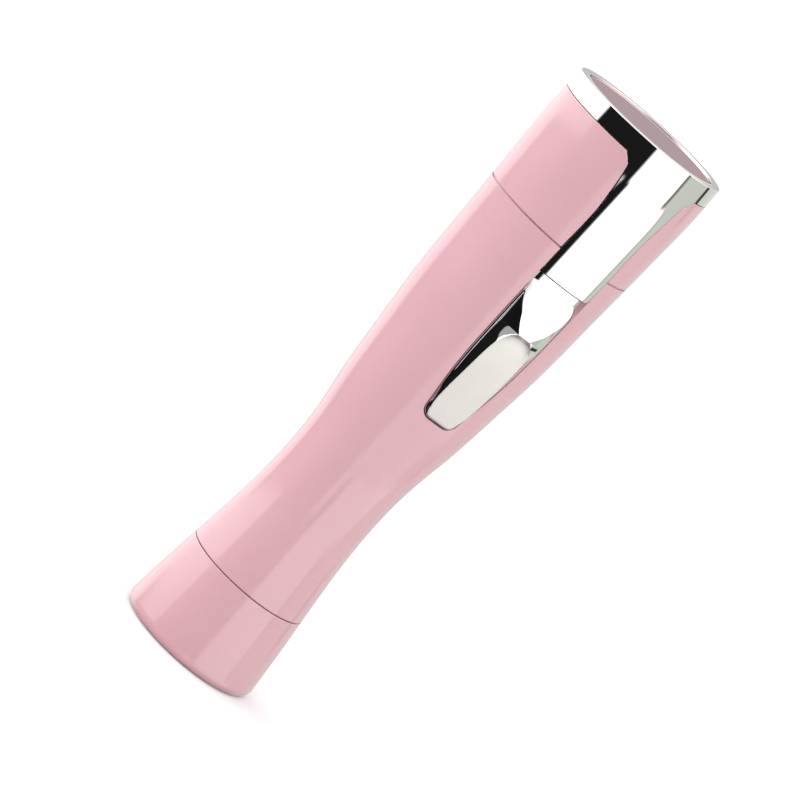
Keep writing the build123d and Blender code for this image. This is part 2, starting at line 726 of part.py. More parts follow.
# ---- Cap --------------------------------------------------------------------------------------
def rib(angle):
    """Inner rib that seats the cap on the head's shoulder."""
    bar = block(RIB_REACH, CAP_CAVITY + 0.5, -RIB_HALF_WIDTH, RIB_HALF_WIDTH, SHOULDER, CAP_CEILING)
    return Rot(0, 0, angle) * bar


def cap_shell():
    """Moulded cap with the opening for the chrome tongue."""
    cap = turned_form(0, UPPER_SEAM + SEAM_GAP / 2, RIM_LOW)
    cap -= rod_z(CAP_CAVITY, 0, CAP_CEILING)
    opening = front_prism(offset(front_face(TONGUE_SIDE, TONGUE_CORNER), TONGUE_PLAY))
    cap -= opening - rod_z(CAP_CAVITY, CAP_CEILING, LENGTH)
    for number in range(CAP_RIBS):
        cap += rib(90 + (number - (CAP_RIBS - 1) / 2) * RIB_PITCH)
    return cap


def chrome_bezel():
    """Rim round the mirror and the tongue that runs down the front, in one piece."""
    shelf = MIRROR_TOP - MIRROR_THICK - PAD_TAPE
    bore = MIRROR_RADIUS + MIRROR_PLAY
    profile = Polyline(
        (0, RIM_LOW),
        (RIM_RADIUS, RIM_LOW),
        (RIM_TOP_RADIUS + RIM_TAPER, LENGTH - RIM_EDGE),
        (RIM_TOP_RADIUS, LENGTH),
        (RIM_LAND, LENGTH),
        (bore, MIRROR_TOP),
        (bore, shelf),
        (0, shelf),
        close=True,
    )
    rim = revolve(Plane.XZ * make_face(profile), Axis.Z)
    tongue = front_prism(front_face(TONGUE_SIDE, TONGUE_CORNER))
    seat = UPPER_SEAM + SEAM_GAP / 2
    tip = tongue & turned_skin(0, TONGUE_TIP, 0, TONGUE_STEP)
    middle = tongue & turned_skin(0, TONGUE_ROOT, TONGUE_STEP, seat)
    wall = turned_form(0, seat, RIM_LOW) - rod_z(CAP_CAVITY + TONGUE_PLAY, 0, LENGTH)
    return rim + (tongue & wall) + middle + tip


def mirror_disc():
    """Tinted mirror let into the rim."""
    disc = rod_z(MIRROR_RADIUS, MIRROR_TOP - MIRROR_THICK, MIRROR_TOP)
    return chamfer(disc.edges().group_by(Axis.Z)[-1], MIRROR_EDGE)


def mirror_tape():
    """Foam tape under the mirror."""
    high = MIRROR_TOP - MIRROR_THICK
    return rod_z(MIRROR_RADIUS - 1.0, high - PAD_TAPE, high)


# ---- Gear teeth -------------------------------------------------------------------------------
def tooth_flank(teeth):
    """Radius and half angle along one involute flank, from root to tip."""
    pitch_radius = MODULE * teeth / 2
    base_radius = pitch_radius * cos(PRESSURE_ANGLE)
    involute_at_pitch = tan(PRESSURE_ANGLE) - PRESSURE_ANGLE
    half_at_pitch = pi * TOOTH_SHARE / teeth
    root = pitch_radius - DEDENDUM
    tip = pitch_radius + ADDENDUM
    start = max(base_radius, root)
    half_at_base = half_at_pitch + involute_at_pitch
    flank = [(root, half_at_base)] if root < base_radius else []
    steps = 4
    for step in range(steps + 1):
        radius = start + (tip - start) * step / steps
        roll = sqrt(max((radius / base_radius) ** 2 - 1, 0))
        flank.append((radius, half_at_base - (roll - atan2(roll, 1))))
    return flank


def gear_face(teeth, phase):
    """Outline of a spur gear with a tooth centred at phase, in degrees."""
    points = []
    for tooth in range(teeth):
        middle = radians(phase) + 2 * pi * tooth / teeth
        rising = [(radius, middle - half) for radius, half in tooth_flank(teeth)]
        falling = [(radius, middle + half) for radius, half in reversed(tooth_flank(teeth))]
        for radius, angle in rising + falling:
            points.append((radius * cos(angle), radius * sin(angle)))
    return make_face(Polyline(*points, close=True))


def meshed_phase(phase, teeth, next_teeth, direction):
    """Phase of the next gear, which lies in the given direction from a gear."""
    shift = (phase - direction) / (360 / teeth)
    next_pitch = 360 / next_teeth
    return direction + 180 - shift * next_pitch + next_pitch / 2


def spur_gear(teeth, phase, bore, y, z, left=GEAR_LEFT, right=GEAR_RIGHT):
    """Spur gear on a shaft along X."""
    disc = extrude(Plane.YZ * gear_face(teeth, phase), right - left)
    return Pos(left, y, z) * disc - rod_x(bore, left - 1, right + 1, y, z)


def idler_place():
    """Where the idler sits, from the two centre distances."""
    lower = MODULE * (SPUR_TEETH + IDLER_TEETH) / 2
    upper = MODULE * (DRUM_TEETH + IDLER_TEETH) / 2
    span = DRUM_HEIGHT - CROWN_HEIGHT
    rise = (lower**2 - upper**2 + span**2) / (2 * span)
    return sqrt(lower**2 - rise**2), CROWN_HEIGHT + rise


IDLER_Y, IDLER_Z = idler_place()
SPUR_TO_IDLER = degrees(atan2(IDLER_Z - CROWN_HEIGHT, IDLER_Y))
IDLER_TO_DRUM = degrees(atan2(DRUM_HEIGHT - IDLER_Z, -IDLER_Y))
IDLER_PHASE = meshed_phase(SPUR_TO_IDLER, SPUR_TEETH, IDLER_TEETH, SPUR_TO_IDLER)
DRUM_PHASE = meshed_phase(IDLER_PHASE, IDLER_TEETH, DRUM_TEETH, IDLER_TO_DRUM)


def crown_tooth(angle):
    """One tooth of the crown gear, standing towards the motor pinion."""
    pitch_plane = MODULE * PINION_TEETH / 2
    middle = MODULE * CROWN_TEETH / 2
    root = pitch_plane + DEDENDUM
    section = Polyline(
        (-CROWN_TOOTH_ROOT, root + CROWN_TOOTH_SUNK),
        (-CROWN_TOOTH_ROOT, root),
        (-CROWN_TOOTH_TIP, pitch_plane - ADDENDUM),
        (CROWN_TOOTH_TIP, pitch_plane - ADDENDUM),
        (CROWN_TOOTH_ROOT, root),
        (CROWN_TOOTH_ROOT, root + CROWN_TOOTH_SUNK),
        close=True,
    )
    across = Plane(origin=(0, 0, middle - CROWN_FACE / 2), x_dir=(0, 1, 0), z_dir=(0, 0, -1))
    tooth = extrude(across * make_face(section), -CROWN_FACE)
    return Pos(0, 0, CROWN_HEIGHT) * Rot(angle, 0, 0) * tooth


def crown_gear():
    """Crown gear driven by the motor pinion, with its hub."""
    face = MODULE * PINION_TEETH / 2 + DEDENDUM
    outer = MODULE * CROWN_TEETH / 2 + CROWN_FACE / 2
    gear = rod_x(outer, face, CROWN_BACK, 0, CROWN_HEIGHT)
    gear += rod_x(CROWN_HUB_RADIUS, CROWN_BACK, CROWN_BACK + CROWN_HUB_LENGTH, 0, CROWN_HEIGHT)
    for number in range(CROWN_TEETH):
        gear += crown_tooth((number + 0.5) * 360 / CROWN_TEETH + 180)
    return gear - rod_x(CROWN_SHAFT_RADIUS + PRESS_FIT, 0, FAR, 0, CROWN_HEIGHT)


# ---- Head -------------------------------------------------------------------------------------
def cheek(span, half_width):
    """Upright bearing wall across the head."""
    outline = Polyline(
        (-half_width, CHEEK_ROOT),
        (half_width, CHEEK_ROOT),
        (half_width, CHEEK_SHOULDER),
        (CHEEK_TOP_HALF_WIDTH, CHEEK_TOP),
        (-CHEEK_TOP_HALF_WIDTH, CHEEK_TOP),
        (-half_width, CHEEK_SHOULDER),
        close=True,
    )
    return Pos(span[0], 0, 0) * extrude(Plane.YZ * make_face(outline), span[1] - span[0])


def head_frame():
    """Collar, floor and bearing walls of the tweezer head, in one moulding."""
    frame = rod_z(PLUG_RADIUS, PLUG_LOW, BODY_HIGH) + rod_z(COLLAR_RADIUS, BODY_HIGH, SHOULDER)
    frame -= rod_z(COLLAR_BORE, PLUG_LOW, SHOULDER)
    frame += rod_z(COLLAR_BORE + 0.2, HEAD_FLOOR_LOW, HEAD_FLOOR_HIGH)
    frame += cheek(LEFT_CHEEK, 5.0) + cheek(INNER_CHEEK, 6.5) + cheek(OUTER_CHEEK, 6.0)
    half_width = SHAFT_POST_HALF_WIDTH
    frame += block(*SHAFT_POST, -half_width, half_width, CHEEK_ROOT, CROWN_HEIGHT + half_width)
    frame -= rod_z(PINION_WELL, PLUG_LOW, HEAD_FLOOR_HIGH + 1)
    frame -= rod_x(CROWN_SHAFT_RADIUS + RUNNING_FIT, SHAFT_POST[0] - 1, FAR, 0, CROWN_HEIGHT)
    frame -= rod_x(CROWN_SHAFT_RADIUS + PRESS_FIT, CROWN_BACK, FAR, IDLER_Y, IDLER_Z)
    frame -= rod_x(BUSH_RADIUS, -FAR, FAR, 0, DRUM_HEIGHT)
    return frame


def head_cover():
    """Skin guard over the gears, with the window that the drum looks out of."""
    cover = rod_z(COVER_RADIUS, SHOULDER, COVER_TOP)
    cover = fillet(cover.edges().group_by(Axis.Z)[-1], COVER_ROUND)
    for left, right in ((WINDOW_RIGHT, HUMP_RIGHT), (HUMP_LEFT, WINDOW_LEFT)):
        hump = rod_x(HUMP_RADIUS, left, right, 0, DRUM_HEIGHT)
        cover += hump & rod_z(FAR, COVER_CEILING, LENGTH)
    cover -= rod_z(COVER_BORE, 0, COVER_CEILING)
    cover -= block(WINDOW_LEFT, WINDOW_RIGHT, -WINDOW_HALF_DEPTH, WINDOW_HALF_DEPTH, 0, LENGTH)
    cover -= rod_x(HUMP_BORE, *GEAR_BAY, 0, DRUM_HEIGHT)
    return cover


def drum_bushes():
    """Bearings of the drum axle in the two outer walls."""
    bore = rod_x(DRUM_AXLE_RADIUS + RUNNING_FIT, -FAR, FAR, 0, DRUM_HEIGHT)
    return [rod_x(BUSH_RADIUS, *span, 0, DRUM_HEIGHT) - bore for span in (LEFT_CHEEK, OUTER_CHEEK)]


def idler_pin():
    """Fixed pin that the idler turns on."""
    return rod_x(CROWN_SHAFT_RADIUS, INNER_CHEEK[0], OUTER_CHEEK[1], IDLER_Y, IDLER_Z)


def station_place(number):
    """Middle of one pair of tweezer plates."""
    middle = (DRUM_LEFT + DRUM_RIGHT) / 2
    return middle + (number - (STATIONS - 1) / 2) * STATION_PITCH


def drum_bar(radius, left, right):
    """Round bar on the drum's axis."""
    return rod_x(radius, left, right, 0, DRUM_HEIGHT)


def drum_bores():
    """Holes through the drum for the axle and the two push rods."""
    bores = drum_bar(DRUM_AXLE_RADIUS + PRESS_FIT, -FAR, FAR)
    for side in (-ROD_OFFSET, ROD_OFFSET):
        bores += rod_x(ROD_RADIUS + PRESS_FIT, -FAR, FAR, side, DRUM_HEIGHT)
    return bores


def drum_notches():
    """Notches round the rim of the drum's plates."""
    high = DRUM_RADIUS + 1
    notch = block(-FAR, FAR, -NOTCH_HALF_WIDTH, NOTCH_HALF_WIDTH, DRUM_RADIUS - NOTCH_DEPTH, high)
    return [Pos(0, 0, DRUM_HEIGHT) * Rot(number * 360 / NOTCHES, 0, 0) * notch for number in range(NOTCHES)]


def tweezer_plates():
    """Six pairs of thin notched plates that grip the hairs."""
    bores = drum_bores()
    notches = drum_notches()
    plates = []
    for number in range(STATIONS):
        for side in (-1, 1):
            near = station_place(number) + side * PLATE_SPREAD / 2
            left = min(near, near + side * PLATE_THICK)
            plate = drum_bar(DRUM_RADIUS, left, left + PLATE_THICK) - bores
            for notch in notches:
                plate -= notch
            plates.append(plate)
    return plates


def drum_spacers():
    """Plastic rings between the pairs of plates, and the two end rings."""
    edge = PLATE_SPREAD / 2 + PLATE_THICK
    bores = drum_bores()
    starts = [DRUM_LEFT] + [station_place(number) + edge for number in range(STATIONS)]
    ends = [station_place(number) - edge for number in range(STATIONS)] + [DRUM_RIGHT]
    return [drum_bar(SPACER_RADIUS, left, right) - bores for left, right in zip(starts, ends)]


def gap_washers():
    """Thin washers that hold the two plates of a pair apart."""
    half = PLATE_SPREAD / 2
    bore = drum_bar(DRUM_AXLE_RADIUS + PRESS_FIT, -FAR, FAR)
    places = [station_place(number) for number in range(STATIONS)]
    return [drum_bar(WASHER_RADIUS, place - half, place + half) - bore for place in places]


def push_rods():
    """Rods along the drum that close the plates."""
    sides = (-ROD_OFFSET, ROD_OFFSET)
    return [rod_x(ROD_RADIUS, DRUM_LEFT, DRUM_RIGHT, side, DRUM_HEIGHT) for side in sides]


def drum_gear():
    """Gear at the drum's end, with a hub that reaches the drum."""
    bore = DRUM_AXLE_RADIUS + PRESS_FIT
    gear = spur_gear(DRUM_TEETH, DRUM_PHASE, bore, 0, DRUM_HEIGHT)
    hub = drum_bar(BUSH_RADIUS - 0.1, DRUM_RIGHT, GEAR_LEFT) - drum_bar(bore, 0, FAR)
    return gear + hub


# ---- Rotor ------------------------------------------------------------------------------------
def motor_pinion():
    """Steel pinion pressed on the motor shaft."""
    disc = extrude(gear_face(PINION_TEETH, 0), PINION_HIGH - PINION_LOW)
    return Pos(0, 0, PINION_LOW) * disc - rod_z(MOTOR_SHAFT_RADIUS + PRESS_FIT, 0, LENGTH)


def armature():
    """Three-pole laminated core with wound slots."""
    core = rod_z(ARMATURE_RADIUS, ARMATURE_LOW, ARMATURE_HIGH)
    core -= rod_z(MOTOR_SHAFT_RADIUS + PRESS_FIT, 0, LENGTH)
    slot = block(-POLE_GAP / 2, POLE_GAP / 2, POLE_ROOT, FAR, 0, LENGTH)
    for number in range(ARMATURE_POLES):
        core -= Rot(0, 0, number * 360 / ARMATURE_POLES) * slot
    return core


def commutator():
    """Copper ring that the brushes touch."""
    ring = rod_z(COMMUTATOR_RADIUS, COMMUTATOR_LOW, COMMUTATOR_HIGH)
    return ring - rod_z(MOTOR_SHAFT_RADIUS + PRESS_FIT, 0, LENGTH)


# ---- Write every sub-part ---------------------------------------------------------------------
def write_base_and_cell():
    save("base_cap_shell", base_cap_shell())
    save("base_contact", base_contact())
    save("contact_spring", contact_spring())
    save("battery_can", rod_z(CELL_RADIUS, CELL_LOW, CELL_HIGH - NUB_HEIGHT))
    save("battery_nub", rod_z(NUB_RADIUS, CELL_HIGH - NUB_HEIGHT, CELL_HIGH))


def write_body():
    save("body_shell", body_shell())
    save("seal_ring", seal_ring())
    save("battery_tube", battery_tube())
    save("positive_contact", positive_contact())
    save("negative_strip", negative_strip())
    save("motor_holder", motor_holder())
    save("motor_can", motor_can())
    save("motor_end_cap", motor_end_cap())
    save("motor_bushes", *motor_bushes())
    save("motor_magnets", *motor_magnets())
    save("motor_terminals", *motor_terminals())
    save("motor_clamp", motor_clamp())
    save("clamp_screws", *both_sides(clamp_screw()))
    save("battery_leads", *battery_leads())
    save("motor_leads", *motor_leads())
    save("circuit_board", circuit_board())
    save("switch_case", switch_case())


def write_switch():
    button, pad = slide_button_and_pad()
    save("slide_button", button)
    save("thumb_pad", pad)
    save("slide_carrier", slide_carrier())
    save("switch_knob", switch_knob())


def write_cap():
    save("cap_shell", cap_shell())
    save("chrome_bezel", chrome_bezel())
    save("mirror_disc", mirror_disc())
    save("mirror_tape", mirror_tape())


def write_head():
    save("head_frame", head_frame())
    save("head_cover", head_cover())
    save("drum_bushes", *drum_bushes())
    save("idler_pin", idler_pin())
    idler_bore = CROWN_SHAFT_RADIUS + RUNNING_FIT
    save("idler_gear", spur_gear(IDLER_TEETH, IDLER_PHASE, idler_bore, IDLER_Y, IDLER_Z))
    save("drum_axle", drum_bar(DRUM_AXLE_RADIUS, LEFT_CHEEK[0], OUTER_CHEEK[1]))
    save("tweezer_plates", *tweezer_plates())
    save("drum_spacers", *drum_spacers())
    save("gap_washers", *gap_washers())
    save("push_rods", *push_rods())
    save("drum_gear", drum_gear())
    save("crown_shaft", rod_x(CROWN_SHAFT_RADIUS, SHAFT_POST[0], OUTER_CHEEK[1], 0, CROWN_HEIGHT))
    save("crown_gear", crown_gear())
    shaft_bore = CROWN_SHAFT_RADIUS + PRESS_FIT
    save("shaft_gear", spur_gear(SPUR_TEETH, SPUR_TO_IDLER, shaft_bore, 0, CROWN_HEIGHT))


def write_rotor():
    save("motor_shaft", rod_z(MOTOR_SHAFT_RADIUS, MOTOR_SHAFT_LOW, MOTOR_SHAFT_HIGH))
    save("motor_pinion", motor_pinion())
    save("armature", armature())
    save("commutator", commutator())


os.makedirs("parts", exist_ok=True)
write_base_and_cell()
write_body()
write_switch()
write_cap()
write_head()
write_rotor()
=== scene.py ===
"""Looks of the battery epilator: fine meshes for its skins, materials, light and camera."""

from math import asin, cos, pi, radians, sin, sqrt

import bmesh
import bpy
import numpy as np
from mathutils import Matrix, Vector


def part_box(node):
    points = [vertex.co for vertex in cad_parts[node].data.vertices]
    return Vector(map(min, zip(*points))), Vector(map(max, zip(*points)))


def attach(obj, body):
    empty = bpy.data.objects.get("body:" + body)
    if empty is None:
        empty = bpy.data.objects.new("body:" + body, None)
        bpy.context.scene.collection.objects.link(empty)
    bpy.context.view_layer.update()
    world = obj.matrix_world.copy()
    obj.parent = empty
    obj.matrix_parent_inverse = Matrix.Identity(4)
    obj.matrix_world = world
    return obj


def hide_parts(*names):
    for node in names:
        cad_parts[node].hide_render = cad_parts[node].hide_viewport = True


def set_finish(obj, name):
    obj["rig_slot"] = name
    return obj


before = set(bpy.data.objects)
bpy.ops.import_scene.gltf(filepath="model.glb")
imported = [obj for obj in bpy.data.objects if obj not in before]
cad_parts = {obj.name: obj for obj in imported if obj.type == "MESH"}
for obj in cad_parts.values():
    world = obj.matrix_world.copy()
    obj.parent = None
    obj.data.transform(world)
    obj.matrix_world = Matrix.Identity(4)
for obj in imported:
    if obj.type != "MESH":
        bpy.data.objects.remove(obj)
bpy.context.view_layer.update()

MM = 0.001

# ---- Form, in millimetres, as in the CAD model --------------------------------------------------
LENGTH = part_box("chrome_bezel")[1][2] / MM
OUTLINE = [
    (16.0, 0.0),
    (15.1, 10.0),
    (14.05, 19.2),
    (12.85, 30.0),
    (12.12, 43.0),
    (12.72, 55.0),
    (14.05, 64.0),
    (15.35, 76.0),
    (16.5, 88.0),
    (17.08, 100.0),
    (17.62, 113.0),
    (18.12, 125.0),
    (18.3, 134.0),
    (18.0, LENGTH),
]
BASE_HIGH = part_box("base_cap_shell")[1][2] / MM
SEAM_GAP = 0.3
BODY_LOW = BASE_HIGH + SEAM_GAP
CAP_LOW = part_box("cap_shell")[0][2] / MM
BODY_HIGH = CAP_LOW - SEAM_GAP
CAP_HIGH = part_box("cap_shell")[1][2] / MM
TONGUE_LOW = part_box("chrome_bezel")[0][2] / MM
BUTTON_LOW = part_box("slide_button")[0][2] / MM
BUTTON_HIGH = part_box("slide_button")[1][2] / MM
MIRROR_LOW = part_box("mirror_disc")[0][2] / MM
MIRROR_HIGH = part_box("mirror_disc")[1][2] / MM
MIRROR_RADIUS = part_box("mirror_disc")[1][0] / MM
BUTTON_SIDE = [(70.0, 3.95), (71.5, 4.1), (79.0, 5.2), (90.0, 6.05), (98.0, 6.2), (110.0, 6.2)]
SHOULDER_LOW = 133.9
TONGUE_SIDE = [(107.0, 6.3), (113.0, 6.4), (125.0, 6.5), (128.0, 6.85), (131.0, 7.2), (SHOULDER_LOW, 7.7)]
SHOULDER_WIDTH = 9.5
TONGUE_CORNER = 0.8
CREST = 94.7
# Half width of the flat top of the button's ridge, by height: the pad's side, then the funnel.
PAD_TOP = [
    (70.0, 3.05),
    (73.0, 3.9),
    (79.0, 4.3),
    (85.0, 4.3),
    (89.5, 4.15),
    (91.5, 3.8),
    (93.2, 3.05),
    (94.1, 2.3),
    (CREST, 1.5),
]
FUNNEL_TOP = [(CREST, 1.5), (96.5, 2.9), (98.0, 3.8), (99.5, 4.5), (101.5, 5.2), (105.0, 5.85), (108.0, 6.0)]
RIDGE_FOOT = [
    (70.0, 3.2),
    (73.0, 4.15),
    (79.0, 4.9),
    (85.0, 5.4),
    (89.5, 5.6),
    (98.0, 5.6),
    (105.0, 5.9),
    (108.0, 6.0),
]
# How far the ridge's top stands proud of the body, by height.
PAD_PROUD = [
    (70.0, 0.02),
    (73.0, 0.15),
    (79.0, 0.4),
    (85.0, 0.62),
    (89.5, 0.78),
    (91.5, 0.86),
    (93.2, 0.96),
    (94.1, 1.12),
    (CREST, 1.35),
]
FUNNEL_PROUD = [
    (CREST, 1.35),
    (96.5, 1.13),
    (98.0, 0.9),
    (99.5, 0.6),
    (101.5, 0.1),
    (103.5, -0.4),
    (105.0, -0.93),
]
HEAD_SLOPE = [(98.0, 18.4), (99.8, 17.8), (101.5, 17.25), (103.5, 16.8), (105.0, 16.32)]
NOSE_LOW = 105.0
NOSE_DEPTH = 0.95
BUTTON_DEPTH = 1.9
BUTTON_CLEARANCE = 0.3
FOOT_ROUND = 2.0
EDGE_ROLL = 0.35
# Small flare of the ridge under its crest.
FLARE = 0.22
FLARE_WIDTH = 1.8
FLARE_LOW = 89.0
FLARE_RISE = 4.0
PAD_INSET = 0.14
PAD_LIFT = 0.04
PAD_EDGE = 0.03
PAD_THICK = 0.4
SWITCH_TRAVEL = 2.0
BODY_WALL = 2.2
# Recess in the body behind the tongue.
BAY_DEPTH = 1.3
BAY_MARGIN = 0.4
# Lips of the body under both seams.
LIP_DEPTH = 0.5
LIP_THICK = 0.6
LIP_REACH = 0.25
LIP_OVERLAP = 0.5
# Collar at the body's lower end that the base cap goes over, with its seal groove.
COLLAR = [
    (11.0, 10.0),
    (12.65, 10.0),
    (12.65, 14.35),
    (11.8, 14.35),
    (11.8, 15.65),
    (12.65, 15.65),
    (12.65, 20.0),
    (11.9, 21.0),
    (10.4, 21.0),
    (10.4, 19.0),
    (11.0, 19.0),
]
CAP_WALL = 1.4
CAP_SIDE_GAP = 0.2
CAP_TOP_GAP = 0.15
CEILING_LOW = 134.4
CEILING_RADIUS = 16.6
RIB_COUNT = 6
RIB_PITCH = 40
RIB_IN = 15.6
RIB_OUT = 16.4
RIB_HALF = 0.6
RIB_LOW = 115.0
RIB_HIGH = 134.5
BEZEL_WALL = 0.6
RIM_EDGE = 0.15
RIM_TAPER = 0.15
RIM_ROWS = 6
MIRROR_PLAY = 0.1
MIRROR_EDGE = 0.15
FOOT_RADIUS = 1.8
FOOT_FLAT = 8.0
# Inside of the base cap: socket for the collar, then the bore and its floor.
SOCKET_RADIUS = 12.75
SOCKET_FLOOR = 10.0
BASE_BORE = 10.5
BASE_FLOOR = 2.2
# Pitch of a skin's rows, and a finer one for short stretches.
PITCH = 0.7
FINE_PITCH = 0.4
# Points round a turned skin outside and inside its front patch.
AROUND = 168
ACROSS = 24


# ---- Mesh tools -----------------------------------------------------------------------------------
def smooth_curve(points):
    """Natural cubic through (place, value) points, as a function of place."""
    place = np.array([point[0] for point in points])
    value = np.array([point[1] for point in points])
    step = np.diff(place)
    size = len(points)
    matrix = np.eye(size)
    target = np.zeros(size)
    for i in range(1, size - 1):
        matrix[i, i - 1 : i + 2] = step[i - 1], 2 * (step[i - 1] + step[i]), step[i]
        target[i] = 6 * ((value[i + 1] - value[i]) / step[i] - (value[i] - value[i - 1]) / step[i - 1])
    bend = np.linalg.solve(matrix, target)

    def curve(at):
        i = int(np.clip(np.searchsorted(place, at) - 1, 0, size - 2))
        left, right, width = at - place[i], place[i + 1] - at, step[i]
        cubic = bend[i] * right**3 + bend[i + 1] * left**3
        linear = (value[i] / width - bend[i] * width / 6) * right
        linear += (value[i + 1] / width - bend[i + 1] * width / 6) * left
        return float(cubic / (6 * width) + linear)

    return curve


radius_at = smooth_curve([(height, radius) for radius, height in OUTLINE])
button_side = smooth_curve(BUTTON_SIDE)
tongue_side = smooth_curve(TONGUE_SIDE)
pad_top = smooth_curve(PAD_TOP)
funnel_top = smooth_curve(FUNNEL_TOP)
ridge_foot = smooth_curve(RIDGE_FOOT)
pad_proud = smooth_curve(PAD_PROUD)
funnel_proud = smooth_curve(FUNNEL_PROUD)
head_slope = smooth_curve(HEAD_SLOPE)


def spread(low, high, pitch):
    """Evenly spaced values from low to high, about pitch apart."""
    count = max(int(round((high - low) / pitch)), 1)
    return [low + (high - low) * i / count for i in range(count + 1)]


def on_form(radius, angle, height):
    """Point on a round form, the angle counted from the front towards +X."""
    return Vector((radius * sin(angle), -radius * cos(angle), height)) * MM


def mesh_piece(name, points, faces):
    """New smooth-shaded piece from points and faces, without unused points."""
    mesh = bpy.data.meshes.new(name)
    mesh.from_pydata([tuple(point) for point in points], [], faces)
    work = bmesh.new()
    work.from_mesh(mesh)
    bmesh.ops.delete(work, geom=[v for v in work.verts if not v.link_faces], context="VERTS")
    bmesh.ops.recalc_face_normals(work, faces=work.faces)
    for face in work.faces:
        face.smooth = True
    work.to_mesh(mesh)
    work.free()
    piece = bpy.data.objects.new(name, mesh)
    bpy.context.scene.collection.objects.link(piece)
    return piece


def bake_modifiers(piece):
    """Replaces the piece's mesh by its evaluated mesh."""
    bpy.context.view_layer.update()
    graph = bpy.context.evaluated_depsgraph_get()
    mesh = bpy.data.meshes.new_from_object(piece.evaluated_get(graph), depsgraph=graph)
    piece.modifiers.clear()
    piece.data = mesh


def thicken(piece, wall, edge):
    """Gives a skin its wall, inwards, and rounds the edges of the wall."""
    face_outward(piece)
    solidify = piece.modifiers.new("wall", "SOLIDIFY")
    solidify.thickness = wall * MM
    solidify.offset = -1.0
    solidify.use_even_offset = True
    round_edges(piece, edge)


def round_edges(piece, edge, angle=35.0):
    """Rounds every edge sharper than the angle."""
    bevel = piece.modifiers.new("edge", "BEVEL")
    bevel.width = edge * MM
    bevel.segments = 3
    bevel.limit_method = "ANGLE"
    bevel.angle_limit = radians(angle)
    bevel.use_clamp_overlap = True
    bevel.harden_normals = True
    bake_modifiers(piece)


def face_outward(piece):
    """Points the skin's normals away from the object's axis."""
    total = 0.0
    for face in piece.data.polygons:
        total += face.area * (face.normal.x * face.center.x + face.normal.y * face.center.y)
    if total <= 0:
        piece.data.flip_normals()


def notched_skin(name, rows, front_strips, rest_strips):
    """Turned skin with a front patch of its own; a row is (radius, height, half angle of the front)."""
    points = []
    for radius, height, half in rows:
        for i in range(ACROSS):
            points.append(on_form(radius, -half + 2 * half * i / ACROSS, height))
        for i in range(AROUND):
            points.append(on_form(radius, half + 2 * (pi - half) * i / AROUND, height))
    columns = ACROSS + AROUND
    faces = []
    for row in range(len(rows) - 1):
        for column in range(columns):
            wanted = front_strips if column < ACROSS else rest_strips
            if not wanted(row):
                continue
            after = (column + 1) % columns
            low, high = row * columns, (row + 1) * columns
            faces.append((low + column, low + after, high + after, high + column))
    return mesh_piece(name, points, faces)


def lathe(name, profile, closed=False, steps=192):
    """Turned piece from (radius, height) points; radius 0 closes on the axis."""
    points, rings, faces = [], [], []
    for radius, height in profile:
        if radius < 1e-6:
            rings.append([len(points)] * steps)
            points.append(Vector((0, 0, height)) * MM)
        else:
            rings.append([len(points) + i for i in range(steps)])
            points.extend(on_form(radius, 2 * pi * i / steps, height) for i in range(steps))
    pairs = list(zip(rings, rings[1:]))
    if closed:
        pairs.append((rings[-1], rings[0]))
    for low, high in pairs:
        for i in range(steps):
            after = (i + 1) % steps
            corners = [low[i], low[after], high[after], high[i]]
            face = [corner for n, corner in enumerate(corners) if corner != corners[n - 1]]
            if len(face) > 2:
                faces.append(face)
    return mesh_piece(name, points, faces)


def slab(name, rows):
    """Closed slab from rows of (x, height, outer, inner), the last two counted forwards."""
    columns = len(rows[0])
    points, faces = [], []
    for depth in (2, 3):
        for row in rows:
            points.extend(Vector((point[0], -point[depth], point[1])) * MM for point in row)
    under = len(rows) * columns

    def wall(a, b):
        faces.append((a, b, b + under, a + under))

    for row in range(len(rows) - 1):
        low, high = row * columns, (row + 1) * columns
        for i in range(columns - 1):
            faces.append((low + i, low + i + 1, high + i + 1, high + i))
            faces.append((under + low + i, under + high + i, under + high + i + 1, under + low + i + 1))
        wall(low, high)
        wall(low + columns - 1, high + columns - 1)
    for i in range(columns - 1):
        wall(i, i + 1)
        wall((len(rows) - 1) * columns + i, (len(rows) - 1) * columns + i + 1)
    return mesh_piece(name, points, faces)


def prisms(name, outlines, low, high):
    """Upright bars from closed outlines in the floor plan."""
    points, faces = [], []
    for outline in outlines:
        start, count = len(points), len(outline)
        for height in (low, high):
            points.extend(Vector((x, y, height)) * MM for x, y in outline)
        faces.append(tuple(start + i for i in reversed(range(count))))
        faces.append(tuple(start + count + i for i in range(count)))
        for i in range(count):
            after = (i + 1) % count
            faces.append((start + i, start + after, start + count + after, start + count + i))
    return mesh_piece(name, points, faces)


def keep_crisp(piece, angle=40.0):
    """Smooth shading that breaks at edges sharper than the angle."""
    piece.data.set_sharp_from_angle(angle=radians(angle))


def arc(centre, radius, start, end, steps):
    """Points on a circle in the (radius, height) plane, angles in degrees from +radius."""
    angles = [radians(start + (end - start) * i / steps) for i in range(steps + 1)]
    return [(centre[0] + radius * cos(a), centre[1] + radius * sin(a)) for a in angles]


# ---- Pieces ---------------------------------------------------------------------------------------
def button_half_width(height, clearance=0.0):
    """Half width of the button's outline, grown by the clearance, with rounded foot corners."""
    corner = FOOT_ROUND + clearance
    rise = min(max(height - (BUTTON_LOW - clearance), 0.0), corner)
    return button_side(height) + clearance - corner + sqrt(corner**2 - (corner - rise) ** 2)


def rounded_rows(low, corner, high, pitch):
    """Heights that follow a rounded corner above low and then run on to high."""
    foot = [low + corner * (1 - cos(radians(a))) for a in range(0, 90, 10)]
    return foot + spread(low + corner, high, pitch)


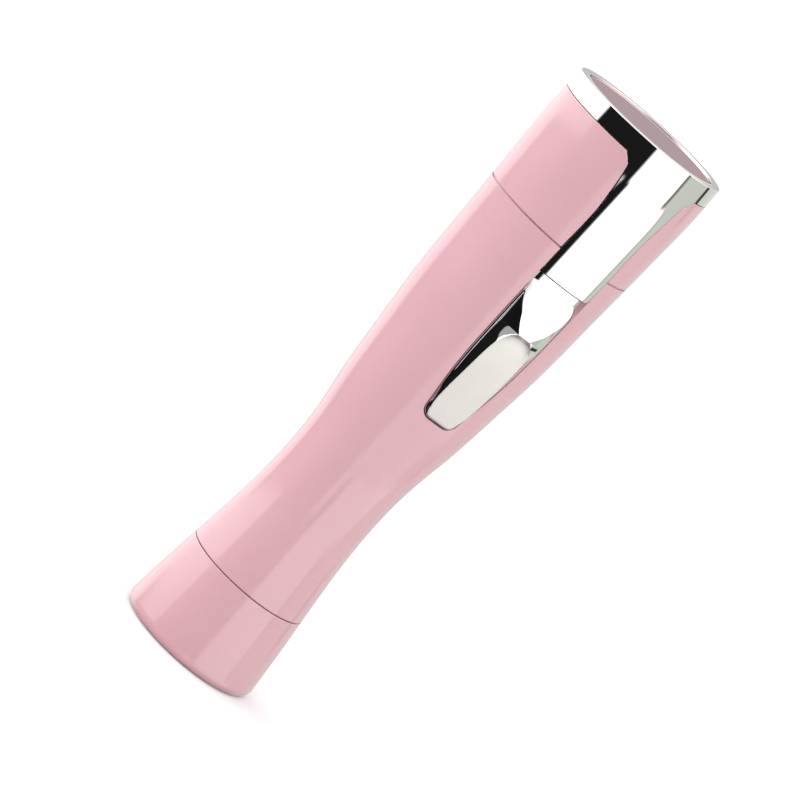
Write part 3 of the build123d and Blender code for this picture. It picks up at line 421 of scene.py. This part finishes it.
def ride_as(piece, body, node, slot):
    """Puts a piece on its body in place of a CAD node, with its material slot."""
    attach(piece, body)
    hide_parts(node)
    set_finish(piece, slot)


def make_grip():
    """Pink body tube with the button's slot, open up to the cap's seam for the tongue."""
    foot = BUTTON_LOW - BUTTON_CLEARANCE
    corner = FOOT_ROUND + BUTTON_CLEARANCE
    heights = spread(BODY_LOW, foot, 0.9)[:-1] + rounded_rows(foot, corner, BODY_HIGH, PITCH)
    rows = []
    for height in heights:
        at = max(height, foot)
        half = asin(button_half_width(at, BUTTON_CLEARANCE) / radius_at(at))
        rows.append((radius_at(height), height, half))
    below = sum(height < foot - 1e-6 for height in heights)
    grip = notched_skin("grip_shell", rows, lambda row: row < below, lambda row: True)
    thicken(grip, BODY_WALL, 0.2)
    ride_as(grip, "handle", "body_shell", "pink_shell")

    bay_low = BUTTON_HIGH + SWITCH_TRAVEL + BUTTON_CLEARANCE
    half = asin((button_side(bay_low) + BUTTON_CLEARANCE + BAY_MARGIN) / radius_at(bay_low))
    bay_rows = [(radius_at(height) - BAY_DEPTH, height, half) for height in spread(bay_low, BODY_HIGH, PITCH)]
    bay = notched_skin("tongue_bay", bay_rows, lambda row: True, lambda row: False)
    thicken(bay, BODY_WALL - BAY_DEPTH, 0.15)
    ride_as(bay, "handle", "body_shell", "pink_shell")

    half = asin((tongue_side(BODY_HIGH) + BUTTON_CLEARANCE) / radius_at(BODY_HIGH))
    low_lip = make_lip("low_lip", BODY_LOW - LIP_REACH, BODY_LOW + LIP_OVERLAP, half, True)
    high_lip = make_lip("high_lip", BODY_HIGH - LIP_OVERLAP, BODY_HIGH + LIP_REACH, half, False)

    collar = lathe("neck_ring", COLLAR, closed=True)
    round_edges(collar, 0.15)
    ride_as(collar, "handle", "body_shell", "pink_shell")
    return [grip, bay, collar, low_lip, high_lip]


def make_lip(name, low, high, half, closed):
    """Band set back under a seam, closed all round or open at the front for the tongue."""
    rows = [(radius_at(height) - LIP_DEPTH, height, half) for height in (low, high)]
    lip = notched_skin(name, rows, lambda row: closed, lambda row: True)
    thicken(lip, LIP_THICK, 0.03)
    ride_as(lip, "handle", "body_shell", "pink_shell")
    return lip


def rolled(distance):
    """How far a rounded edge drops at a distance inside the outline."""
    inside = min(max(distance, 0.0), EDGE_ROLL)
    return EDGE_ROLL - sqrt(EDGE_ROLL**2 - (EDGE_ROLL - inside) ** 2)


def edge_distance(x, height):
    """Distance from the button's outline in the front view."""
    rise = height - BUTTON_LOW
    centre = button_side(height) - FOOT_ROUND
    if rise < FOOT_ROUND and abs(x) > centre:
        return FOOT_ROUND - sqrt((abs(x) - centre) ** 2 + (FOOT_ROUND - rise) ** 2)
    return min(button_side(height) - abs(x), rise)


def button_front(x, height):
    """How far forwards the button's face stands, before its edges are rounded."""
    radius = radius_at(height)
    skin = sqrt(radius**2 - x**2)
    if height >= NOSE_LOW:
        return sqrt((radius - NOSE_DEPTH) ** 2 - x**2)
    flat = pad_top(height) if height < CREST else funnel_top(height)
    proud = pad_proud(height) if height < CREST else funnel_proud(height)
    foot = max(ridge_foot(height), flat + 0.05)
    across = abs(x)
    top = radius + proud
    if across <= flat:
        near = max(1 - (flat - across) / FLARE_WIDTH, 0.0)
        window = min(max((height - FLARE_LOW) / FLARE_RISE, 0.0), 1.0) if height < CREST else 0.0
        front = top + FLARE * (near * window) ** 2
    elif across < foot:
        share = (across - flat) / (foot - flat)
        front = top + share * (sqrt(radius**2 - foot**2) - top)
        front = min(front, top + FLARE) if height < CREST else front
    else:
        front = skin
    front = max(front, skin)
    if height > HEAD_SLOPE[0][0]:
        front = min(front, sqrt(head_slope(height) ** 2 - x**2))
    return front


def button_columns(height, half):
    """Places across the button, close together at its creases and its edge."""
    flat = pad_top(height) if height < CREST else funnel_top(height)
    foot = ridge_foot(height)
    flat = min(flat, half - 0.75)
    foot = min(max(foot, flat + 0.2), half - 0.45)
    right = [flat * i / 6 for i in range(1, 6)] + [flat - 0.06, flat, flat + 0.06]
    right += [flat + 0.06 + (foot - flat - 0.12) * i / 7 for i in range(1, 8)] + [foot]
    edge = half - EDGE_ROLL
    right += [foot + (edge - foot) * i / 3 for i in range(1, 4)]
    right += [half - gap for gap in (0.24, 0.15, 0.08, 0.03, 0.0)]
    return [-x for x in reversed(right)] + [0.0] + right


def make_button():
    """Chrome slide button: skirt, ridge, funnel and the nose that slips under the tongue."""
    heights = [BUTTON_LOW + step for step in (0.0, 0.03, 0.08, 0.15, 0.24, 0.35, 0.55, 0.8, 1.1, 1.5, 2.0)]
    heights += spread(72.5, 88.5, 0.5) + spread(88.75, 94.5, 0.25) + [94.6, 94.65, 94.7, 94.75, 94.8]
    heights += spread(95.0, 104.8, 0.28) + [104.93, NOSE_LOW, 105.1, 105.5, 106.0, 106.5, BUTTON_HIGH]
    rows = []
    for height in heights:
        half = button_half_width(height)
        row = []
        for x in button_columns(height, half):
            outer = button_front(x, height) - rolled(edge_distance(x, height))
            inner = sqrt((radius_at(height) - BUTTON_DEPTH) ** 2 - x**2)
            row.append((x, height, outer, inner))
        rows.append(row)
    button = slab("chrome_button", rows)
    keep_crisp(button)
    ride_as(button, "slider", "slide_button", "chrome_trim")
    return button


def make_pad():
    """Satin thumb pad on the lower ridge, a little inside its edges."""
    low, high = BUTTON_LOW + 0.4, CREST - 0.2
    heights = [low, low + 0.05, low + 0.15, low + 0.4] + spread(low + 0.8, 88.5, 0.6)
    heights += spread(88.8, high - 0.1, 0.25) + [high]
    rows = []
    for height in heights:
        half = min(pad_top(height) - PAD_INSET, button_half_width(height) - 0.4)
        row = []
        for share in (0, 0.15, 0.35, 0.55, 0.75, 0.88, 0.95, 0.985, 1.0):
            x = half * share
            fall = PAD_EDGE if share == 1.0 or height in (low, high) else 0.0
            outer = button_front(x, height) + PAD_LIFT - fall
            outer -= rolled(edge_distance(x, height))
            row.append((x, height, outer, outer - PAD_THICK))
        rows.append([(-x, height, outer, inner) for x, height, outer, inner in reversed(row[1:])] + row)
    pad = slab("satin_pad", rows)
    keep_crisp(pad)
    ride_as(pad, "slider", "thumb_pad", "satin_nickel")
    return pad


def make_cap():
    """Pink cap, open at the front for the tongue."""
    rows = []
    top = CAP_HIGH - CAP_TOP_GAP
    for height in spread(CAP_LOW, SHOULDER_LOW, PITCH) + spread(SHOULDER_LOW, top, FINE_PITCH)[1:]:
        radius = radius_at(height)
        half = tongue_half_width(height) + CAP_SIDE_GAP
        rows.append((radius, height, asin(half / radius)))
    cap = notched_skin("cap_skin", rows, lambda row: False, lambda row: True)
    thicken(cap, CAP_WALL, 0.2)
    ride_as(cap, "cap", "cap_shell", "pink_shell")

    profile = [(0.0, CEILING_LOW), (CEILING_RADIUS, CEILING_LOW), (CEILING_RADIUS, top), (0.0, top)]
    ceiling = lathe("cap_ceiling", profile)
    round_edges(ceiling, 0.1)
    ride_as(ceiling, "cap", "cap_shell", "pink_shell")

    outlines = []
    corners = [(RIB_IN, -RIB_HALF), (RIB_OUT, -RIB_HALF), (RIB_OUT, RIB_HALF), (RIB_IN, RIB_HALF)]
    for number in range(RIB_COUNT):
        turn = radians(90 + (number - (RIB_COUNT - 1) / 2) * RIB_PITCH)
        outlines.append([(x * cos(turn) - y * sin(turn), x * sin(turn) + y * cos(turn)) for x, y in corners])
    ribs = prisms("cap_ribs", outlines, RIB_LOW, RIB_HIGH)
    round_edges(ribs, 0.15)
    ride_as(ribs, "cap", "cap_shell", "pink_shell")
    return [cap, ceiling, ribs]


def tongue_half_width(height):
    """Half width of the tongue, with its sloping shoulders under the rim."""
    if height <= SHOULDER_LOW:
        return tongue_side(height)
    share = (height - SHOULDER_LOW) / (CAP_HIGH - SHOULDER_LOW)
    return tongue_side(SHOULDER_LOW) + share * (SHOULDER_WIDTH - tongue_side(SHOULDER_LOW))


def make_bezel():
    """Chrome rim and tongue in one skin, over the rim and down to the mirror."""
    corner = TONGUE_CORNER
    heights = rounded_rows(TONGUE_LOW, corner, SHOULDER_LOW, PITCH)
    heights += spread(SHOULDER_LOW, CAP_HIGH, FINE_PITCH)[1:]
    rows = []
    for height in heights:
        radius = radius_at(height)
        rise = min(height - TONGUE_LOW, corner)
        half = tongue_half_width(height) - corner + sqrt(corner**2 - (corner - rise) ** 2)
        rows.append((radius, height, asin(half / radius)))
    tongue_rows = len(rows) - 1
    half = rows[-1][2]
    low, high = radius_at(CAP_HIGH), LENGTH - RIM_EDGE
    top = low - RIM_TAPER
    shares = [step / RIM_ROWS for step in range(1, RIM_ROWS)]
    rim = [(low + (top - low) * share, CAP_HIGH + (high - CAP_HIGH) * share) for share in shares]
    rim += [(top + 0.003, high - 0.06), (top, high)] + arc((top - RIM_EDGE, high), RIM_EDGE, 0, 90, 5)[1:]
    bore = MIRROR_RADIUS + MIRROR_PLAY
    rim += [(top - RIM_EDGE - 0.08, LENGTH), (bore + 0.2, LENGTH - 0.01), (bore + 0.1, LENGTH - 0.02)]
    rim += [(bore + 0.03, LENGTH - 0.05), (bore, LENGTH - 0.1), (bore, LENGTH - 0.16), (bore, MIRROR_LOW)]
    rows += [(radius, height, half) for radius, height in rim]
    bezel = notched_skin("rim_and_tongue", rows, lambda row: True, lambda row: row >= tongue_rows)
    thicken(bezel, BEZEL_WALL, 0.1)
    ride_as(bezel, "cap", "chrome_bezel", "chrome_trim")
    return bezel


def make_base():
    """Pink base cap with a rounded foot."""
    profile = [(0.0, 0.0), (FOOT_FLAT, 0.0)]
    profile += arc((radius_at(FOOT_RADIUS) - FOOT_RADIUS, FOOT_RADIUS), FOOT_RADIUS, -90, 0, 10)
    profile += [(radius_at(height), height) for height in spread(FOOT_RADIUS, BASE_HIGH, PITCH)[1:]]
    profile += [(SOCKET_RADIUS, BASE_HIGH), (SOCKET_RADIUS, SOCKET_FLOOR), (BASE_BORE, SOCKET_FLOOR)]
    profile += [(BASE_BORE, BASE_FLOOR), (0.0, BASE_FLOOR)]
    base = lathe("base_cup", profile)
    round_edges(base, 0.16)
    ride_as(base, "base_cap", "base_cap_shell", "pink_shell")
    return base


def make_mirror():
    """Mirror disc with a fine ground edge."""
    profile = [(0.0, MIRROR_LOW), (MIRROR_RADIUS, MIRROR_LOW), (MIRROR_RADIUS, MIRROR_HIGH - MIRROR_EDGE)]
    profile += [(MIRROR_RADIUS - MIRROR_EDGE, MIRROR_HIGH), (0.0, MIRROR_HIGH)]
    mirror = lathe("mirror_plate", profile)
    round_edges(mirror, 0.04)
    ride_as(mirror, "cap", "mirror_disc", "mirror_glass")
    return mirror


# ---- Materials ------------------------------------------------------------------------------------
# Most of a noise texture's values lie between these two.
NOISE_LOW = 0.3
NOISE_HIGH = 0.7


def new_material(name):
    """Material with a Principled shader, and its node tree's parts."""
    material = bpy.data.materials.new(name)
    material.use_nodes = True
    nodes = material.node_tree.nodes
    return material, nodes, material.node_tree.links, nodes["Principled BSDF"]


def noise(nodes, links, scale, detail, roughness=0.5):
    """Noise in the object's own space, scale in features per metre."""
    place = nodes.new("ShaderNodeTexCoord")
    texture = nodes.new("ShaderNodeTexNoise")
    texture.inputs["Scale"].default_value = scale
    texture.inputs["Detail"].default_value = detail
    texture.inputs["Roughness"].default_value = roughness
    links.new(place.outputs["Object"], texture.inputs["Vector"])
    return texture.outputs["Fac"]


def ramp(nodes, links, factor, stops):
    """Colour ramp with (place, colour) stops."""
    node = nodes.new("ShaderNodeValToRGB")
    while len(node.color_ramp.elements) < len(stops):
        node.color_ramp.elements.new(0.5)
    for element, (place, colour) in zip(node.color_ramp.elements, stops):
        element.position = place
        element.color = (*colour, 1.0)
    links.new(factor, node.inputs["Fac"])
    return node.outputs["Color"]


def spread_value(nodes, links, factor, low, high):
    """Maps a noise factor to a range of values."""
    node = nodes.new("ShaderNodeMapRange")
    node.inputs["From Min"].default_value = NOISE_LOW
    node.inputs["From Max"].default_value = NOISE_HIGH
    node.inputs["To Min"].default_value = low
    node.inputs["To Max"].default_value = high
    links.new(factor, node.inputs["Value"])
    return node.outputs["Result"]


def bump(nodes, links, shader, height, strength, depth):
    """Fine relief on the surface, depth in metres."""
    node = nodes.new("ShaderNodeBump")
    node.inputs["Strength"].default_value = strength
    node.inputs["Distance"].default_value = depth
    links.new(height, node.inputs["Height"])
    links.new(node.outputs["Normal"], shader.inputs["Normal"])


def finish_material(name, colours, metallic, roughness, grain, relief, coat=None, painted_reflection_tint=None):
    """Procedural finish: colour between two tones, roughness range, and a fine relief."""
    material, nodes, links, shader = new_material(name)
    broad = noise(nodes, links, grain[0], 3.0)
    fine = noise(nodes, links, grain[1], 5.0, 0.6)
    colour = ramp(nodes, links, broad, [(NOISE_LOW, colours[0]), (NOISE_HIGH, colours[1])])
    links.new(colour, shader.inputs["Base Color"])
    links.new(spread_value(nodes, links, fine, *roughness), shader.inputs["Roughness"])
    shader.inputs["Metallic"].default_value = metallic
    if coat:
        shader.inputs["Coat Weight"].default_value = coat[0]
        shader.inputs["Coat Roughness"].default_value = coat[1]
    if painted_reflection_tint:
        shader.inputs["Specular Tint"].default_value = (*painted_reflection_tint, 1.0)
    bump(nodes, links, shader, fine, relief[0], relief[1])
    return material


def assign(material, *pieces):
    """Gives the pieces one material."""
    for piece in pieces:
        piece.data.materials.clear()
        piece.data.materials.append(material)


# ---- Light, floor, camera -------------------------------------------------------------------------
CAMERA_AZIMUTH = -29.5
CAMERA_ELEVATION = 10.2
CAMERA_DISTANCE = 0.985
CAMERA_ROLL = 41.96
SENSOR_WIDTH = 36.0
FOCAL_LENGTH = 223.2
SHIFT_X = -0.02025
SHIFT_Y = -0.012375
AIM = Vector((0.0, 0.0, LENGTH * MM / 2))


def direction(azimuth, elevation):
    """Unit vector, azimuth counted from the front towards +X."""
    a, e = radians(azimuth), radians(elevation)
    return Vector((sin(a) * cos(e), -cos(a) * cos(e), sin(e)))


def add_camera():
    """Long-lens camera, rolled so that the object leans to the upper right."""
    data = bpy.data.cameras.new("camera")
    data.sensor_width = SENSOR_WIDTH
    data.lens = FOCAL_LENGTH
    data.shift_x = SHIFT_X
    data.shift_y = SHIFT_Y
    data.clip_end = 50.0
    camera = bpy.data.objects.new("camera", data)
    bpy.context.scene.collection.objects.link(camera)
    back = direction(CAMERA_AZIMUTH, CAMERA_ELEVATION)
    camera.location = AIM + back * CAMERA_DISTANCE
    aim = (-back).to_track_quat("-Z", "Y").to_matrix().to_4x4()
    roll = Matrix.Rotation(radians(CAMERA_ROLL), 4, "Z")
    camera.matrix_world = Matrix.Translation(camera.location) @ aim @ roll
    bpy.context.scene.camera = camera


def math_node(nodes, links, operation, first, second=None):
    """Math node fed by sockets or plain numbers."""
    node = nodes.new("ShaderNodeMath")
    node.operation = operation
    for socket, value in zip(node.inputs, (first, second)):
        if isinstance(value, (int, float)):
            socket.default_value = value
        elif value is not None:
            links.new(value, socket)
    return node.outputs[0]


def panel_ramp(nodes, links, azimuth, panels):
    """Brightness round the studio, from (azimuth in degrees, brightness) stops."""
    share = nodes.new("ShaderNodeMapRange")
    share.inputs["From Min"].default_value = -pi
    share.inputs["From Max"].default_value = pi
    links.new(azimuth, share.inputs["Value"])
    stops = [((place + 180) / 360, tone) for place, tone in panels]
    return ramp(nodes, links, share.outputs["Result"], stops)


def blend(nodes, links, value, band, below, above):
    """Goes from one colour to another as the value rises through the band."""
    share = nodes.new("ShaderNodeMapRange")
    share.interpolation_type = "SMOOTHSTEP"
    share.inputs["From Min"].default_value = band[0]
    share.inputs["From Max"].default_value = band[1]
    links.new(value, share.inputs["Value"])
    mix = nodes.new("ShaderNodeMixRGB")
    links.new(share.outputs["Result"], mix.inputs["Fac"])
    links.new(below, mix.inputs["Color1"])
    links.new(above, mix.inputs["Color2"])
    return mix.outputs["Color"]


STUDIO_FULL = 5.0
OLIVE = (1.0, 1.05, 0.95)
BROWN = (1.2, 1.0, 0.85)
MAUVE = (1.08, 0.92, 0.95)


def grey(level, tint=(1.0, 1.0, 1.0)):
    """Tone of the studio, as a share of its full brightness."""
    return tuple(level * part / STUDIO_FULL for part in tint)


# Tones round the studio just under the horizon; azimuth from the front towards +X.
FAR_LINE = [
    (-180, grey(1.4)), (-90, grey(1.4)), (-87, grey(0.01)), (-8, grey(0.01)), (-5, grey(1.5)),
    (49, grey(1.5)), (50, grey(0.12, BROWN)), (53, grey(0.2, BROWN)), (55, grey(0.6, OLIVE)),
    (92, grey(0.58, OLIVE)), (94, grey(0.03)), (99, grey(0.03)), (101, grey(0.62, OLIVE)),
    (150, grey(0.82)), (180, grey(1.2)),
]
# At table height.
TABLE_LINE = [
    (-180, grey(1.2)), (-150, grey(1.2)), (-146, grey(0.01)), (-27, grey(0.01)), (-25, grey(1.2)),
    (-15, grey(1.2)), (-13, grey(0.01)), (-5, grey(0.01)), (-3, grey(1.5)), (50, grey(1.5)),
    (51, grey(0.15, BROWN)), (53, grey(0.6, OLIVE)), (92, grey(0.58, OLIVE)), (150, grey(0.82)),
    (180, grey(1.2)),
]
# Further down, towards the feet of the stands.
BELOW_TABLE = [
    (-180, grey(0.9)), (-150, grey(0.9)), (-146, grey(0.008)), (-28, grey(0.008)), (-22, grey(1.0)),
    (60, grey(1.0)), (66, grey(0.35)), (72, grey(0.42, OLIVE)), (86, grey(0.36, OLIVE)),
    (89, grey(0.05)), (92, grey(0.05)), (96, grey(0.5, OLIVE)), (140, grey(0.5, OLIVE)), (180, grey(0.9)),
]
# At the feet.
FEET = [
    (-180, grey(0.22, MAUVE)), (-150, grey(0.22, MAUVE)), (-146, grey(0.008)), (-28, grey(0.008)),
    (-20, grey(0.22, MAUVE)), (180, grey(0.22, MAUVE)),
]
# Above the table: big soft boxes left and right, a dimmer gap in front.
SOFT_BOXES = [
    (-180, grey(1.2)), (-150, grey(3.0)), (-95, grey(3.8)), (-78, grey(1.5)), (-60, grey(0.4)),
    (-25, grey(0.4)), (0, grey(1.2)), (60, grey(1.3)), (110, grey(0.9)), (140, grey(0.55)),
    (165, grey(0.55)), (180, grey(1.1)),
]
CEILING = (*grey(1.4), 1.0)
# Rise of a direction, the sine of its elevation, over which one band of the studio turns into the next.
FEET_TO_BELOW = (-0.64, -0.5)
BELOW_TO_TABLE = (-0.34, -0.31)
TABLE_TO_FAR = (-0.15, -0.12)
FAR_TO_BOXES = (0.06, 0.1)
BOXES_TO_CEILING = (0.35, 0.7)
# On the right the table's panels lean: radians of turn per unit of rise above LEAN_FROM.
LEAN = 1.6
LEAN_FROM = -0.05


def add_world():
    """Studio surroundings, in five bands from the feet of the stands up to the ceiling."""
    world = bpy.data.worlds.new("studio")
    bpy.context.scene.world = world
    world.use_nodes = True
    nodes, links = world.node_tree.nodes, world.node_tree.links
    place = nodes.new("ShaderNodeTexCoord")
    split = nodes.new("ShaderNodeSeparateXYZ")
    links.new(place.outputs["Generated"], split.inputs["Vector"])
    rise = split.outputs["Z"]
    forwards = math_node(nodes, links, "MULTIPLY", split.outputs["Y"], -1.0)
    azimuth = math_node(nodes, links, "ARCTAN2", split.outputs["X"], forwards)
    right_hand = math_node(nodes, links, "MAXIMUM", azimuth, 0.0)
    right_share = math_node(nodes, links, "MINIMUM", right_hand, 1.0)
    drop = math_node(nodes, links, "SUBTRACT", rise, LEAN_FROM)
    lean = math_node(nodes, links, "MULTIPLY", drop, LEAN)
    right_lean = math_node(nodes, links, "MULTIPLY", lean, right_share)
    leaning = math_node(nodes, links, "ADD", azimuth, right_lean)
    feet = panel_ramp(nodes, links, azimuth, FEET)
    below = panel_ramp(nodes, links, azimuth, BELOW_TABLE)
    table = panel_ramp(nodes, links, leaning, TABLE_LINE)
    far = panel_ramp(nodes, links, azimuth, FAR_LINE)
    boxes = panel_ramp(nodes, links, azimuth, SOFT_BOXES)
    ceiling = nodes.new("ShaderNodeRGB")
    ceiling.outputs[0].default_value = CEILING
    lower = blend(nodes, links, rise, FEET_TO_BELOW, feet, below)
    lower = blend(nodes, links, rise, BELOW_TO_TABLE, lower, table)
    lower = blend(nodes, links, rise, TABLE_TO_FAR, lower, far)
    upper = blend(nodes, links, rise, BOXES_TO_CEILING, boxes, ceiling.outputs[0])
    colour = blend(nodes, links, rise, FAR_TO_BOXES, lower, upper)
    background = nodes["Background"]
    background.inputs["Strength"].default_value = STUDIO_FULL
    links.new(colour, background.inputs["Color"])


def add_floor():
    """Wide pale floor."""
    bpy.ops.mesh.primitive_plane_add(size=16.0, location=(0, 0, 0))
    floor = bpy.context.object
    floor.name = "floor"
    material, nodes, links, shader = new_material("floor_paint")
    tone = noise(nodes, links, 3.0, 2.0)
    colour = ramp(nodes, links, tone, [(NOISE_LOW, (0.9, 0.9, 0.9)), (NOISE_HIGH, (0.92, 0.92, 0.92))])
    links.new(colour, shader.inputs["Base Color"])
    shader.inputs["Roughness"].default_value = 0.9
    assign(material, floor)
    floor.visible_glossy = False


# Tones, metallic, roughness range, size of broad and fine grain per metre, relief strength and depth.
FINISHES = {
    "pink_shell": (((0.62, 0.355, 0.395), (0.64, 0.37, 0.41)), 0.0, (0.18, 0.22), (60, 900), (0.01, 5e-6)),
    "chrome_trim": (((0.90, 0.90, 0.90), (0.94, 0.94, 0.94)), 1.0, (0.03, 0.05), (80, 400), (0.02, 2e-5)),
    "satin_nickel": (((0.80, 0.77, 0.73), (0.84, 0.81, 0.77)), 1.0, (0.36, 0.44), (120, 6000), (0.1, 2e-5)),
    # Painted reflection: the mirror's dim mauve-pink tone stands in for the pink surroundings it reflects,
    # not a colour of its own.
    "mirror_glass": (((0.50, 0.36, 0.38), (0.52, 0.38, 0.40)), 1.0, (0.03, 0.05), (60, 400), (0.01, 1e-5)),
    "foam_tape": (((0.70, 0.70, 0.66), (0.78, 0.78, 0.74)), 0.0, (0.85, 0.95), (200, 4000), (0.5, 1e-4)),
    "seal_rubber": (
        ((0.015, 0.015, 0.016), (0.025, 0.025, 0.026)),
        0.0, (0.5, 0.65), (150, 2500), (0.2, 3e-5),
    ),
    "white_plastic": (((0.72, 0.71, 0.68), (0.76, 0.75, 0.72)), 0.0, (0.35, 0.45), (80, 2500), (0.15, 2e-5)),
    "guard_plastic": (((0.76, 0.75, 0.73), (0.80, 0.79, 0.77)), 0.0, (0.22, 0.3), (70, 1500), (0.08, 2e-5)),
    "black_plastic": (((0.018, 0.018, 0.02), (0.028, 0.028, 0.03)), 0.0, (0.4, 0.5), (90, 3000), (0.2, 2e-5)),
    "switch_metal": (((0.52, 0.52, 0.50), (0.60, 0.60, 0.58)), 1.0, (0.3, 0.42), (100, 3000), (0.15, 2e-5)),
    "spring_steel": (((0.50, 0.50, 0.49), (0.60, 0.60, 0.59)), 1.0, (0.22, 0.34), (150, 4000), (0.12, 1e-5)),
    "motor_steel": (((0.44, 0.44, 0.43), (0.54, 0.54, 0.53)), 1.0, (0.34, 0.46), (90, 2500), (0.15, 2e-5)),
    "bronze": (((0.40, 0.22, 0.09), (0.52, 0.30, 0.13)), 1.0, (0.4, 0.52), (200, 5000), (0.25, 2e-5)),
    "ferrite": (((0.035, 0.035, 0.038), (0.055, 0.055, 0.06)), 0.0, (0.7, 0.85), (150, 4000), (0.4, 4e-5)),
    "brass_contact": (((0.66, 0.46, 0.16), (0.74, 0.54, 0.22)), 1.0, (0.24, 0.36), (120, 3000), (0.1, 1e-5)),
    "screw_steel": (((0.48, 0.48, 0.48), (0.60, 0.60, 0.60)), 1.0, (0.25, 0.38), (200, 5000), (0.2, 1e-5)),
    "red_lead": (((0.42, 0.02, 0.015), (0.52, 0.03, 0.02)), 0.0, (0.4, 0.5), (200, 3000), (0.15, 2e-5)),
    "black_lead": (
        ((0.015, 0.015, 0.015), (0.028, 0.028, 0.028)),
        0.0, (0.4, 0.5), (200, 3000), (0.15, 2e-5),
    ),
    "board_laminate": (((0.36, 0.22, 0.07), (0.46, 0.30, 0.11)), 0.0, (0.45, 0.6), (300, 6000), (0.3, 2e-5)),
    "shaft_steel": (((0.58, 0.58, 0.58), (0.68, 0.68, 0.68)), 1.0, (0.14, 0.24), (150, 5000), (0.1, 1e-5)),
    "brass_gear": (((0.62, 0.42, 0.14), (0.72, 0.52, 0.20)), 1.0, (0.26, 0.38), (200, 4000), (0.15, 1e-5)),
    "lamination_steel": (
        ((0.26, 0.25, 0.24), (0.38, 0.37, 0.36)),
        1.0, (0.45, 0.6), (250, 6000), (0.4, 3e-5),
    ),
    "copper": (((0.72, 0.30, 0.16), (0.82, 0.40, 0.24)), 1.0, (0.28, 0.42), (200, 4000), (0.15, 1e-5)),
    "tweezer_steel": (((0.60, 0.60, 0.59), (0.72, 0.72, 0.71)), 1.0, (0.16, 0.28), (200, 5000), (0.1, 1e-5)),
    "drum_plastic": (((0.62, 0.40, 0.45), (0.66, 0.43, 0.48)), 0.0, (0.32, 0.42), (90, 2500), (0.12, 2e-5)),
    "nylon_gear": (((0.70, 0.69, 0.62), (0.76, 0.75, 0.68)), 0.0, (0.38, 0.5), (120, 3000), (0.15, 2e-5)),
    "cell_wrap": (((0.05, 0.09, 0.16), (0.07, 0.12, 0.20)), 0.1, (0.24, 0.34), (70, 1200), (0.08, 2e-5)),
    "cell_steel": (((0.56, 0.56, 0.55), (0.66, 0.66, 0.65)), 1.0, (0.2, 0.32), (150, 4000), (0.1, 1e-5)),
}
COATS = {"pink_shell": (0.8, 0.1), "guard_plastic": (0.15, 0.1), "cell_wrap": (0.4, 0.1)}
# Painted reflection: the pink tint of the mirror's sheen stands in for what the mirror reflects.
PAINTED_REFLECTION_TINTS = {"mirror_glass": (1.0, 0.8, 0.83)}
CAD_SLOTS = {
    "seal_rubber": ["seal_ring"],
    "foam_tape": ["mirror_tape"],
    "white_plastic": ["battery_tube", "motor_holder", "motor_clamp", "head_frame"],
    "guard_plastic": ["head_cover"],
    "black_plastic": ["motor_end_cap", "slide_carrier", "switch_knob"],
    "switch_metal": ["switch_case"],
    "spring_steel": ["positive_contact", "negative_strip", "base_contact", "contact_spring"],
    "motor_steel": ["motor_can"],
    "bronze": ["motor_bushes", "drum_bushes"],
    "ferrite": ["motor_magnets"],
    "brass_contact": ["motor_terminals"],
    "screw_steel": ["clamp_screws"],
    "red_lead": ["battery_leads"],
    "black_lead": ["motor_leads"],
    "board_laminate": ["circuit_board"],
    "shaft_steel": ["motor_shaft", "idler_pin", "drum_axle", "push_rods", "crown_shaft"],
    "brass_gear": ["motor_pinion"],
    "lamination_steel": ["armature"],
    "copper": ["commutator"],
    "tweezer_steel": ["tweezer_plates", "gap_washers"],
    "drum_plastic": ["drum_spacers"],
    "nylon_gear": ["drum_gear", "crown_gear", "shaft_gear", "idler_gear"],
    "cell_wrap": ["battery_can"],
    "cell_steel": ["battery_nub"],
}

pieces = make_grip() + make_cap() + [make_bezel(), make_base(), make_mirror(), make_button(), make_pad()]
for slot_name, finish in FINISHES.items():
    material = finish_material(slot_name, *finish, COATS.get(slot_name), PAINTED_REFLECTION_TINTS.get(slot_name))
    for piece in pieces:
        if piece["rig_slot"] == slot_name:
            assign(material, piece)
    for node in CAD_SLOTS.get(slot_name, []):
        assign(material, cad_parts[node])

add_world()
add_floor()
add_camera()
bpy.context.scene.view_settings.view_transform = "Standard"
